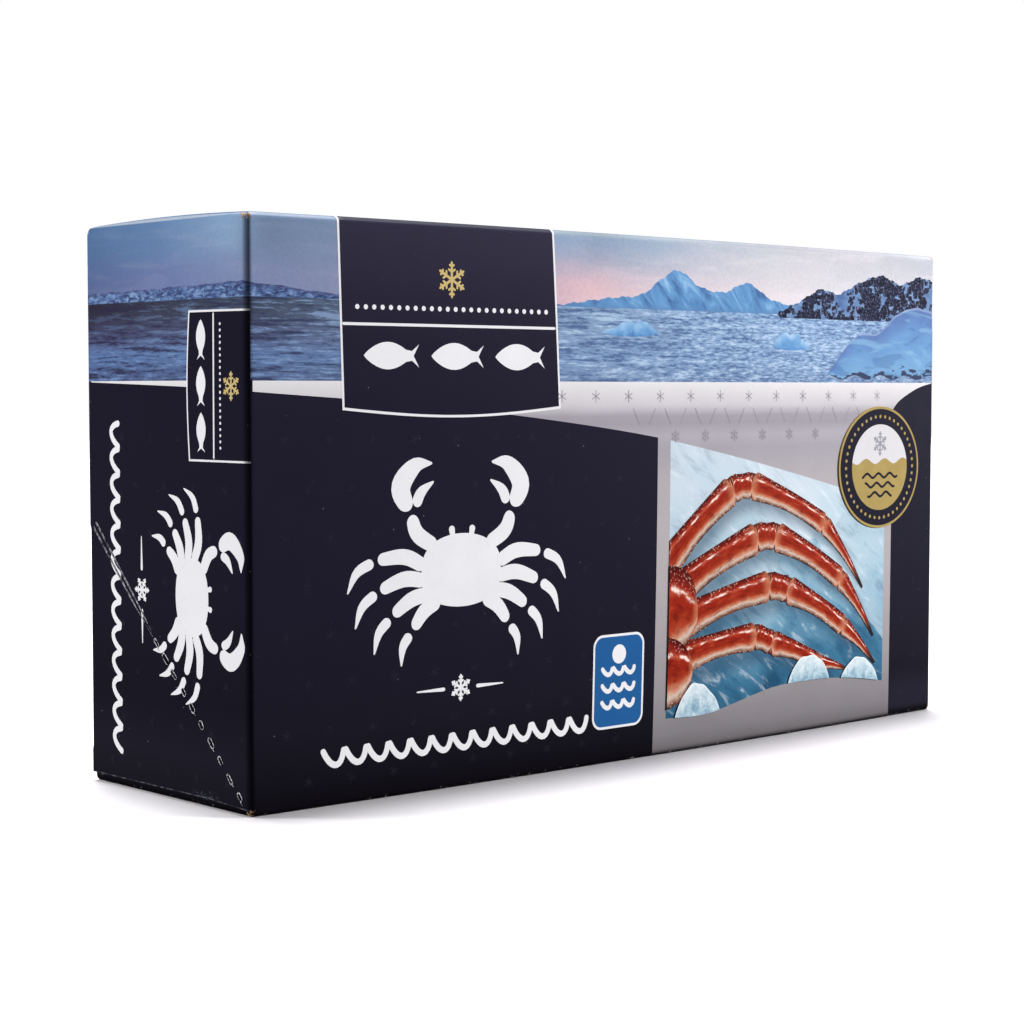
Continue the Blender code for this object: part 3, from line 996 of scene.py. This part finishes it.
# ---------------------------------------------------------------------------------------------
# The picture on the silver panel: cooked crab legs laid out on blue ice, printed inside a frame
# whose head follows the wave and whose foot dips to the left.

frame_left, frame_right = 8.0, 125.2
frame_foot = (7.0, 12.0), (29.6, 11.9), (61.1, 17.3), (83.6, 18.2), (105.1, 16.9), (127.0, 13.7)
frame_drop = 0.1             # how far the frame's head stays below the wave's line


def in_frame(sheets):
    """Sheets cut to the frame: whatever runs past it is drawn in to its edge."""
    cut = []
    for across, up, *rest in sheets:
        across = np.clip(across, frame_left, frame_right)
        low, high = through(frame_foot, across), through(wave_points, across) - frame_drop
        cut.append(np.stack([across, np.clip(up, low, high), *rest]))
    return cut


def ice_ink(tree):
    """Blue ice: pale above, deep below, clouded by noise, with two long flat faces breaking it.

    A face begins at a line, lean * x + z = at, bent a little by the clouds, and fades out above it.
    """
    place, x, y, z = on_board(tree)
    cloud = grain(place, 0.030, 5.0, (1.0, 1.0, 1.3), 0.7) - 0.5
    colour = graded(
        cloud * 70.0 + z, 8.0, 100.0, (14, 34, 78, 108), (28, 62, 114, 146), (44, 112, 158, 184),
        (64, 166, 194, 210), (92, 198, 211, 223))
    fine = grain(together(x, y, x * 0.6 + z), 0.16, 6.0, (0.45, 1.0, 1.4), 0.5, 0.62)
    colour = blend(rise(fine, 0.48, 0.34) * ramp(z, 20.0, 80.0, 0.55, 0.22), colour, ink(36, 78, 110))
    colour = blend(rise(fine, 0.55, 0.70) * 0.50, colour, ink(228, 237, 244))
    for lean, at, pale in ((0.86, 138.0, 0.30), (-0.42, 34.0, 0.16)):
        beyond = cloud * 16.0 + (x * lean + z - at)
        face = rise(beyond, 0.0, 0.5) * rise(beyond, 26.0, 1.0)
        shown = larger(face, rise(abs(beyond), 0.55, 0.1) * 1.3) * pale
        colour = blend(shown, colour, ink(232, 240, 246))
    return colour


def leg_shade_ink(tree):
    """The same ice, darker towards the middle of the stroke: the soft shadow under a leg."""
    dark = rise(abs(own(tree, "over")), 1.0, 0.2) * rise(own(tree, "along"), 1.0, 0.8)
    return blend(dark * 0.62, ice_ink(tree), ink(44, 72, 100))


def leg_ink(tree):
    """Cooked shell, by the way across the leg: dark rims, a cream belly, orange red and a bright ridge.

    Streaks run along the leg; flecks and spines come from cells; joints go cream, and toes brown.
    """
    place, _, _, z = on_board(tree)
    over, along = own(tree, "over"), own(tree, "along")
    bent = (grain(place, 0.28, 4.0, distortion=0.6) - 0.5) * 0.34 + over
    shell = graded(
        bent, -1.0, 1.0, (-0.98, 72, 46, 40), (-0.86, 140, 102, 86), (-0.66, 206, 184, 170),
        (-0.50, 194, 128, 100), (-0.30, 164, 58, 34), (-0.02, 142, 36, 20), (0.30, 150, 38, 22),
        (0.50, 184, 76, 54), (0.66, 138, 32, 22), (0.86, 98, 22, 18), (1.0, 60, 16, 16))
    streaks = together(along * 9.0, over * 5.0, z * 0.03)
    streak = grain(streaks, 0.9, 4.0, distortion=0.4)
    shell = blend(rise(streak, 0.46, 0.32) * 0.50, shell, ink(78, 16, 14))
    shell = blend(rise(streak, 0.54, 0.70) * 0.30, shell, ink(204, 88, 52))
    wart = rise(cells(place, 1.05), 0.36, 0.16) * rise(abs(bent), 0.30, 0.90)
    shell = blend(wart * 0.6, shell, ink(232, 194, 176))
    shine = rise(grain(streaks, 0.8, 3.0), 0.46, 0.58) * rise(abs(bent - 0.47), 0.13, 0.02)
    shell = blend(shine * 0.9, shell, ink(255, 236, 226))
    joint = rise(abs(reckon("FRACT", along) - 0.5), 0.40, 0.49)
    shell = blend(joint * 0.5, shell, ink(208, 134, 100))
    return blend(rise(along, 1.62, 1.90), shell, ink(50, 34, 30))


def knuckle_ink(tree):
    """The skin between two lengths of a leg: dull red with cream folds across it."""
    folds = reckon("SINE", own(tree, "along") * 40.0)
    colour = blend(rise(folds, -0.2, 0.9), ink(104, 30, 22), ink(190, 130, 104))
    return blend(rise(abs(own(tree, "over")), 0.6, 1.0), colour, ink(88, 34, 26))


def lump_ink(tree):
    """A lump of half clear ice: a frosted crown with a thin bright rim over a grey-blue body."""
    over = own(tree, "over")
    frost = grain(on_board(tree)[0], 0.34, 6.0, distortion=0.6, roughness=0.68)
    body = graded(
        over * 0.30 + frost, 0.3, 1.0, (0.42, 124, 158, 180), (0.58, 168, 194, 208),
        (0.70, 198, 214, 223), (0.86, 222, 231, 237))
    return blend(rise(over, 0.90, 0.99) * 0.7, body, ink(238, 245, 248))


ice_print, leg_shade, leg_print, knuckle_print, lump_print = (
    printed(paint.__name__, paint, dust=0.3)
    for paint in (ice_ink, leg_shade_ink, leg_ink, knuckle_ink, lump_ink))


def leg(points, half_widths, bow=0.03):
    """A leg as a chain of joints: each length is a blunt stroke, bowed a little and thick at its ends.

    C(t) = A + t (B - A) + bow |B - A| sin(pi t) N and w(t) = w (1 - 0.2 sin(pi t)); the last length
    is the toe, numbered from 1 to 2.
    """
    lengths = []
    points = np.asarray(points, dtype=float)
    for index, (start, end) in enumerate(zip(points[:-1], points[1:])):
        t = np.linspace(0.0, 1.0, 9)[:, None]
        side = np.array([-(end - start)[1], (end - start)[0]])
        path = start + t * (end - start) + bow * np.sin(np.pi * t) * side
        thick = np.interp(t[:, 0], [0.0, 1.0], half_widths[index:index + 2])
        thick = thick * (1.0 - 0.20 * np.sin(np.pi * t[:, 0]))
        across, up, way, over = stroke(path, thick, 48, 14, ends=0.42)
        toe = index == len(points) - 2
        lengths.append(np.stack([across, up, way + toe, over]))
    return lengths


def knuckles(points, half_widths):
    """A short band across each joint of a leg, narrower than the leg, along the bend's bisector."""
    points, bands = np.asarray(points, dtype=float), []
    for index in range(1, len(points) - 1):
        ahead = points[index + 1] - points[index - 1]
        ahead = ahead / np.linalg.norm(ahead) * 3.6
        ends = [points[index] - ahead, points[index] + ahead]
        bands.append(stroke(ends, half_widths[index] * 0.80, 10, 6, False, 0.5))
    return bands


frame_x = np.linspace(frame_left, frame_right, 60)
frame_top = through(wave_points, frame_x) - frame_drop
ice_sheet = between(frame_x, through(frame_foot, frame_x), frame_top, 40)
legs = (
    (((6, 62), (39, 87), (49, 88), (89, 73), (112, 49)), (6.0, 5.6, 5.2, 3.9, 2.2)),
    (((10, 53), (52, 70), (62, 70), (99, 53), (119, 31)), (6.6, 6.0, 5.5, 4.1, 2.3)),
    (((14, 43), (59, 53), (69, 51), (101, 36), (120, 21)), (6.6, 5.8, 5.4, 3.9, 2.1)),
    (((14, 31), (52, 36), (61, 33), (87, 24), (104, 20)), (6.0, 5.2, 4.8, 3.2, 1.9)),
)
shade_sheets, knuckle_sheets, leg_stacks = [], [], []
for number, (joints, thick) in enumerate(legs):
    bend = tuple(np.mean(joints[1:3], axis=0))
    wide = np.array([thick[0], thick[1], thick[3], thick[4]]) * 1.35 + 0.6
    shade = moved([stroke([joints[0], bend, *joints[3:]], wide, 70, 12)], 1.6, -3.8)
    shade_sheets.append((3 + 0.5 * number, leg_shade, in_frame(shade)))
    knuckle_sheets.append((6 + 2 * number, knuckle_print, in_frame(knuckles(joints, thick))))
    leg_stacks.append((7 + 2 * number, leg_print, in_frame(leg(joints, (*thick[:-1], 0.5))[::-1])))
body = [stroke([(-8, 34), (8, 46), (22, 46)], [18.0, 17.0, 12.0], 48, 20, ends=0.8),
        stroke([(-6, 26), (8, 27), (20, 28)], [12.0, 12.0, 8.0], 48, 20, ends=0.8)]
leg_stacks.append((15, leg_print, in_frame(body)))
lumps = []
for left, right, crown in ((12.0, 34.0, 22.5), (70.0, 93.0, 27.5), (100.0, 122.0, 24.0)):
    u = (1 - np.cos(np.linspace(0.0, np.pi, 40))) / 2
    rough = 1.0 + 0.06 * np.sin(u * 7.0 + left) + 0.025 * np.sin(u * 23.0 + left)
    lump_x = left + (right - left) * u
    foot = through(frame_foot, lump_x)
    lumps.append(between(lump_x, foot, foot + (crown - foot) * (4 * u * (1 - u)) ** 0.8 * rough, 10))
pasted("picture_ice", on_sleeve, (2, ice_print, [ice_sheet]))
pasted("picture_leg_shades", on_sleeve, *shade_sheets, rim=False)
pasted("picture_knuckles", on_sleeve, *knuckle_sheets, rim=False)
pasted("picture_legs", on_sleeve, *leg_stacks, rim=False)
pasted("picture_lumps", on_sleeve, (16, lump_print, in_frame(lumps)), rim=False)

# ---------------------------------------------------------------------------------------------
# The oval badge over the corner of the picture: a gold rim, a dark ring with a row of gold dots,
# and a white and gold field with a snowflake.

badge_x, badge_z = 121.3, 92.4
badge_wide, badge_high = 24.7, 22.05


def badge_gold_ink(tree):
    """Flat gold, a shade uneven."""
    return blend(grain(on_board(tree)[0], 0.2, 3.0), ink(158, 136, 80), ink(178, 156, 98))


def ring_of_dots(share, count, radius):
    """Dots set round an oval at a share of the badge's half axes."""
    turns = np.linspace(0.0, 2 * np.pi, count, endpoint=False)
    spots = zip(badge_wide * share * np.cos(turns), badge_high * share * np.sin(turns))
    return [oval(badge_x + x, badge_z + z, radius, radius, 7, 3) for x, z in spots]


badge_gold = printed("badge_gold_ink", badge_gold_ink, dust=0.2)
badge_white = printed("badge_white", ink(212, 210, 214), dust=0.2)
badge_grey = printed("badge_grey_ink", ink(150, 150, 160), dust=0.0)
inner_wide, inner_high = 17.05, 15.55
u = np.linspace(0.0, 1.0, 60)
inner_x = badge_x - inner_wide * np.cos(np.pi * u)
inner_low = badge_z - inner_high * np.sin(np.pi * u)
inner_top = badge_z + inner_high * np.sin(np.pi * u)
tide = badge_z + 2.2 + 1.0 * np.sin((inner_x - badge_x) * 0.55)
gold_field = between(inner_x, inner_low, np.clip(tide, inner_low, inner_top), 8)
tides = []
for k in range(3):
    tide_x = np.linspace(badge_x - 11.0 + 1.7 * k, badge_x + 11.0 - 1.7 * k, 22)
    tide_z = badge_z - 3.0 - 3.4 * k + 0.8 * np.sin(tide_x * 0.9 + k)
    tides.append(stroke(np.column_stack([tide_x, tide_z]), 0.45, 60, 2))
pasted("badge", on_sleeve,
       (17, badge_gold, [oval(badge_x, badge_z, badge_wide, badge_high, 90, 14)]),
       (18, navy, [oval(badge_x, badge_z, badge_wide - 0.9, badge_high - 0.9, 90, 14)]),
       (19, badge_white, [oval(badge_x, badge_z, inner_wide, inner_high, 80, 12)]),
       (20, badge_gold, [gold_field]),
       (19, badge_gold, ring_of_dots(0.835, 44, 0.62)),
       (21, navy, tides),
       (20, badge_grey, moved(snowflake(4.6, 0.32), badge_x, badge_z + 8.6)))

# ---------------------------------------------------------------------------------------------
# Ornaments on the dark blue of the front: a crab, a snowflake between rules and a row of waves,
# all in white, and a small blue panel with waves beside them.


def crab():
    """A crab seen from above, in strokes: body, four pairs of legs in two lengths, pincers and eyes."""
    thighs = (((9, -9), (15, -12), (19.5, -17.5)), ((12, -6.5), (20, -8), (27.5, -12.5)),
              ((14.5, -2.5), (23, -1.5), (32.5, -4.5)), ((15, 2), (23, 5.5), (33.5, 5)))
    shins = (((20.6, -19), (23.6, -23), (24.2, -29)), ((28.8, -13.8), (33.0, -18), (34.8, -24.5)),
             ((34.0, -5.4), (39.4, -9.4), (42.0, -16)), ((35.2, 4.4), (41.4, 1.4), (45.0, -5)))
    right = [stroke(points, [2.3, 2.5, 1.9], 20, 4) for points in thighs]
    right += [stroke(points, [1.8, 1.5, 0.25], 20, 3) for points in shins]
    right += [stroke([(10.5, 8), (18, 12.5), (20.5, 18.5)], [2.4, 2.7, 2.2], 20, 4),
              stroke([(21.4, 20), (24.6, 27.4), (19, 34), (12.2, 34.8)], [2.6, 3.7, 2.6, 0.3], 28, 4),
              stroke([(18.8, 21.2), (16.6, 25.6), (11.6, 29.0)], [1.9, 1.8, 0.3], 20, 3),
              stroke([(3.6, 10), (4.4, 14.6)], [0.8, 1.3], 14, 2)]
    left = [np.stack([-a, b, *rest]) for a, b, *rest in right]
    u, v = np.meshgrid(np.linspace(0, 1, 60), np.linspace(0, 1, 12), indexing="ij")
    rim = np.sin(np.pi * u) ** 0.72
    shell = np.stack([-16.4 * np.cos(np.pi * u), (2 * v - 1) * 11.0 * rim - 0.5 + 1.6 * rim * v, u, v])
    return [shell] + right + left


def waves(length, high, half_width, count):
    """A row of leaning waves, each x = a (t + k sin(t + s)), z = -h cos t from crest to crest."""
    t = np.pi * np.linspace(-0.88, 0.88, 15)
    radius = length / (2 * np.pi * count)
    x, z = radius * (t + 0.85 * np.sin(t + 0.5)), -high / 2 * np.cos(t)
    middles = length * ((np.arange(count) + 0.5) / count - 0.5)
    return [stroke(np.column_stack([x + middle, z]), half_width, 24, 2) for middle in middles]


def flake_and_rules(length):
    """A snowflake between two tapered rules."""
    rule = stroke([(6.0, 0.0), (length / 2, 0.0)], [0.62, 0.2], 10, 2)
    return snowflake(4.2, 0.42) + [rule] + moved([rule], turn=180)


emblem_x = -81.0
small_white = flake_and_rules(34.0)
front_white = moved(crab(), emblem_x, 66.0, size=0.94) + moved(small_white, emblem_x, 30.5)
front_white += moved(waves(104.0, 5.2, 0.95, 13), -79.8, 14.6)
pasted("front_ornaments", on_sleeve, (2, white_ink, front_white))


def plate(left, right, bottom, top, radius, columns=30, rows=12):
    """A panel with round corners: its top and foot draw in by r - sqrt(r^2 - d^2) near the sides."""
    x = left + (right - left) * (1 - np.cos(np.linspace(0, np.pi, columns))) / 2
    past = np.clip(radius - np.minimum(x - left, right - x), 0.0, radius)
    drop = radius - np.sqrt(radius**2 - past**2)
    return between(x, bottom + drop, top - drop, rows)


blue_ink = printed("blue_ink", ink(36, 92, 150), dust=0.4)
plate_x = -14.5
three_waves = waves(15.0, 2.6, 0.75, 3)
plate_white = [sheet for k in range(3) for sheet in moved(three_waves, plate_x, 19.5 + 5.4 * k)]
plate_white.append(oval(plate_x, 35.4, 3.1, 3.1, 24, 6))
pasted("blue_panel", on_sleeve, (2, white_ink, [plate(-26.0, -3.0, 11.4, 42.0, 4.0)]),
       (3, blue_ink, [plate(-25.2, -3.8, 12.2, 41.2, 3.3)]), (4, white_ink, plate_white))

# ---------------------------------------------------------------------------------------------
# The print of the two end flaps, turned a quarter so that it reads down: label, crab, snowflake
# and waves, with the tip of the silver strip behind.  A tear line runs over it to the lower corner.

fold_line = (half_depth - hinge_run) * 1000


def on_end(side):
    """Places on an end flap, from millimetres across (to the rear) and up; side is -1 or 1.

    Before the fold line the way across runs on round the hinge fold by t = way / mean of r and q:
    P = (X - r + (r + layer) cos t, -Y + q - (q + layer) sin t), q being the bend's reach on the flap.
    """
    def place(across, up, layer):
        lift = layer * ply / 1000
        t = np.clip(-fold_line - across, 0.0, None) / 500 / (fold_radius + hinge_run)
        x = side * (half_length - fold_radius + (fold_radius + lift) * np.cos(t))
        y = np.clip(across, -fold_line, None) / 1000 - (hinge_run + lift) * np.sin(t)
        return bellied(x, y, up / 1000)
    return place


end_print = 40.3             # how far back the print reaches on the flap
edge_points = (-40.0, 120.3), (-13.0, 121.2), (40.4, 122.7)
print_start = -fold_line - 2.55    # it runs on that far round the hinge fold
wedge_y = joined((print_start, -fold_line, 8), (-fold_line, end_print, 24))
wedge = between(wedge_y, through(edge_points, wedge_y), picture_line, 3)
label_rear, end_foot, end_head = -13.0, 99.9, 143.0


def end_tab(inset):
    """The label on the end: straight at the fold, its rear side a shallow arc."""
    columns = joined((print_start, -fold_line, 10), (-fold_line, label_rear, 10))
    share = (columns - print_start) / (label_rear - print_start)
    u, v = np.meshgrid(share, np.linspace(0, 1, 30), indexing="ij")
    rear = label_rear - inset + 1.1 * np.sin(np.pi * v)
    up = end_foot + inset + v * (end_head - end_foot - 2 * inset)
    return np.stack([print_start + u * (rear - print_start), up, u, v])


middle_z = (end_foot + end_head) / 2
fish_y, rule_y, dot_y, flake_y = -19.2, -25.4, -28.6, -33.8
end_label = [stroke([(rule_y, end_foot + 0.5), (rule_y, end_head - 0.5)], 0.34, 12, 2, False)]
end_label += [oval(dot_y, middle_z + 1.75 * index, 0.42, 0.42, 8, 3) for index in range(-10, 11)]
for index in (1, 0, -1):
    end_label += moved(fish(11.4), fish_y, middle_z + 13.2 * index, -90.0)
side_waves = waves(100.0, 5.0, 0.95, 13)
end_white = moved(crab(), -13.6, 60.5, 90.0, 0.70) + moved(small_white, 12.4, 61.0, 90.0, 0.95)
end_white += moved(side_waves, 26.4, 61.0, 90.0)

tear_rear, tear_front = np.array([38.9, 79.4]), np.array([-38.4, 3.6])
ahead = (tear_front - tear_rear) / np.linalg.norm(tear_front - tear_rear)
aside = np.array([-ahead[1], ahead[0]])
tear_lean = np.degrees(np.arctan2(ahead[1], ahead[0]))
cuts_start = 46.5            # from the flap's free edge to the first cut
cut_pitch = 6.4


def cut_marks(count, seed):
    """Slots of a tear line along +x: ragged pale outlines, dark middles of painted shade in the
    slits, and nicks at some ends.
    """
    draw = np.random.default_rng(seed).uniform
    pale, dark, nicks = [], [], []
    for index in range(count):
        x = index * cut_pitch + draw(-0.35, 0.35)
        up, lean = draw(-0.15, 0.15), draw(-9, 9)
        half, wide = 1.75 + draw(-0.3, 0.3), 0.88 + draw(-0.18, 0.14)
        pale += moved([stroke([(-half, 0.0), (half, 0.0)], wide, 16, 2, False)], x, up, lean)
        core_x = x + draw(-0.22, 0.28)
        core = stroke([(-half + 0.25, 0.0), (half - 0.2, 0.0)], wide - 0.34, 16, 2, False)
        dark += moved([core], core_x, up + draw(-0.12, 0.12), lean + draw(-4, 4))
        if draw() < 0.6:
            nick = stroke([(1.2, 0.1), (2.8, -0.1)], [0.22, 0.05], 6, 2, False)
            nicks += moved([nick], x, up, lean + draw(-20, 20))
    return pale, dark, nicks


def torn_ink(tree):
    """Fibre laid bare along a cut: grey white, broken by noise into dark bits of ink."""
    bits = grain(on_board(tree)[0], 1.9, 4.0)
    return graded(bits, 0.3, 0.7, (0.38, 34, 32, 44), (0.47, 146, 144, 154), (0.58, 216, 214, 220))


def scored_ink(tree):
    """A line that the cutting rule scored through the varnish: thin and grey, now and then lost."""
    bits = grain(on_board(tree)[0], 0.7, 4.0)
    return graded(bits, 0.3, 0.7, (0.36, 34, 32, 44), (0.47, 100, 98, 110), (0.62, 168, 166, 176))


torn_board = printed("torn_board", torn_ink, wear=0.0, dust=0.0)
scored_board = printed("scored_board", scored_ink, wear=0.0, dust=0.0)
# Painted shade: the near black inside the slits of the tear line.
slot_dark = printed("slot_dark", ink(13, 12, 19), wear=0.0, dust=0.0)


def tear_line(name, place, layer, marks, at, *under):
    """Cut marks set down at (across, up, turn), from a layer up, over the stacks that lie under."""
    kinds = zip(range(layer, layer + 3), (torn_board, slot_dark, torn_board), marks)
    stacks = [(number, material, moved(sheets, *at)) for number, material, sheets in kinds]
    pasted(name, place, *under, *stacks, rim=False)


end_cuts = cut_marks(10, 5)
first_cut = (*(tear_rear + ahead * (cuts_start + 1.2)), tear_lean)
scores = []
for off, stop in ((-1.25, 44.0), (-0.80, 42.0), (0.85, 45.5), (1.30, 40.0)):
    path = [tear_rear + aside * off, tear_rear + ahead * 30 + aside * off * 0.8,
            tear_rear + ahead * stop + aside * np.sign(off) * 0.35]
    scores.append(stroke(path, [0.14, 0.16, 0.05], 30, 1))
gold_flake = moved(snowflake(4.3, 0.34), flake_y, middle_z)
for side, name in ((-1, "near"), (1, "far")):
    place = on_end(side)
    pasted(f"{name}_end_strip", place, (1, silver, [wedge]))
    pasted(f"{name}_end_stars", place, (1, star_blue, end_stars), rim=False)
    pasted(f"{name}_end_label", place, (2, white_ink, [end_tab(0.0)]), (3, navy, [end_tab(0.6)]))
    pasted(f"{name}_end_ornaments", place, (4, white_ink, end_label), (4, gold_ink, gold_flake),
           (2, white_ink, end_white))
    tear_line(f"{name}_tear_line", place, 6, end_cuts, first_cut, (5, scored_board, scores))

# ---------------------------------------------------------------------------------------------
# The back panel, which the photograph doesn't show: the same landscape, silver and dark blue, with
# a plain table, three round pictures of how to serve, and the tear line running level across it.


def on_back(across, up, layer):
    """Places on the back panel, millimetres across to the right as seen from behind, and up."""
    depth = np.full(np.shape(up), half_depth + layer * ply / 1000)
    return bellied(-across / 1000, depth, up / 1000)


back_end = (half_length - board - fold_radius) * 1000
back_x = np.linspace(-back_end, back_end, 110)
back_wave = (-156, 120.4), (-90, 118.6), (-20, 113.4), (48, 108.8), (110, 112.4), (156, 119.6)
back_range = np.linspace(-138.0, 6.0, 180)
back_bank = np.linspace(60.0, back_end, 80)
back_hills = ((-138, 146.8), (-112, 150.6), (-92, 157.2), (-78, 153.0), (-58, 155.8), (-34, 150.4),
              (6, 147.0))
back_slope = (60, 126.2), (78, 134.8), (98, 138.6), (120, 146.0), (156, 149.4)
pasted("back_hills", on_back,
       (1, far_range, [between(back_range, horizon, skyline(back_hills, back_range, 0.45), 10)]),
       (2, snow_bank, [between(back_bank, 125.0, skyline(back_slope, back_bank, 0.16), 14)]))
back_silver = between(back_x, through(back_wave, back_x), picture_line, 5)
pasted("back_strip", on_back, (1, silver, [back_silver]))

back_stars = [sheet for sheet in front_stars if sheet[1].mean() < 104.0]
pasted("back_stars", on_back, (1, star_blue, back_stars), rim=False)

rule_grey = printed("rule_grey", ink(120, 118, 130), dust=0.0)


def rule(left, right, level, half_width, count, ends):
    """A level line of ink."""
    return stroke([(left, level), (right, level)], half_width, count, 1, False, ends)


table = [plate(58.0, 138.0, 12.0, 72.0, 3.0)]
table_row = 6.5
draw = np.random.default_rng(11).uniform
rules = [rule(61.0, 135.0, 64.5 - table_row * row, wide, 20, False)
         for row, wide in enumerate((0.9, 0.22, 0.22, 0.6, 0.22, 0.22, 0.6, 0.22))]
for index in range(8):
    level = 67.7 - table_row * index
    rules += [rule(62.5, 62.5 + draw(14.0, 32.0), level, 0.85, 14, 0.4),
              rule(128.0 - draw(2.0, 8.0), 133.5, level, 0.85, 10, 0.4)]

circle_z, circle_radius = 54.5, 17.0
flake_x, pot_x, fish_x = -118.0, -68.0, -18.0
back_white = []
for centre in (flake_x, pot_x, fish_x):
    left = centre - circle_radius
    back_white.append(oval(centre, circle_z, circle_radius, circle_radius, 60, 10))
    for row in range(4):
        reach = circle_radius - (row == 3) * draw(4.0, 9.0)
        back_white.append(rule(left, left + 2 * reach, 31.5 - 4.8 * row, 0.85, 18, 0.4))
back_white += moved(side_waves, pot_x, 94.0) + moved(crab(), 98.0, 92.0, size=0.40)
pot = [plate(-9.5, 9.5, -9.0, 1.5, 2.5), plate(-10.5, 10.5, 2.7, 4.6, 0.9),
       plate(-13.4, -10.0, -3.0, -1.2, 0.9), plate(10.0, 13.4, -3.0, -1.2, 0.9)]
steam = stroke([(0.0, 6.4), (1.3, 8.4), (-0.6, 10.4), (0.8, 12.4)], 0.5, 20, 2)
back_dark = moved(snowflake(12.0, 1.0), flake_x, circle_z) + moved(pot, pot_x, circle_z)
for off in (-5.0, 0.0, 5.0):
    back_dark += moved([steam], pot_x + off, circle_z)
back_dark += moved(fish(22.0), fish_x, circle_z + 4.0)
back_dark += moved(waves(22.0, 3.0, 0.7, 4), fish_x, circle_z - 7.0)
pasted("back_panels", on_back, (2, white_ink, table + back_white), (3, rule_grey, rules),
       (3, navy, back_dark))

back_count = 46
back_start = -0.5 * (back_count - 1) * cut_pitch
tear_line("back_tear_line", on_back, 4, cut_marks(back_count, 9), (back_start, tear_height * 1000))
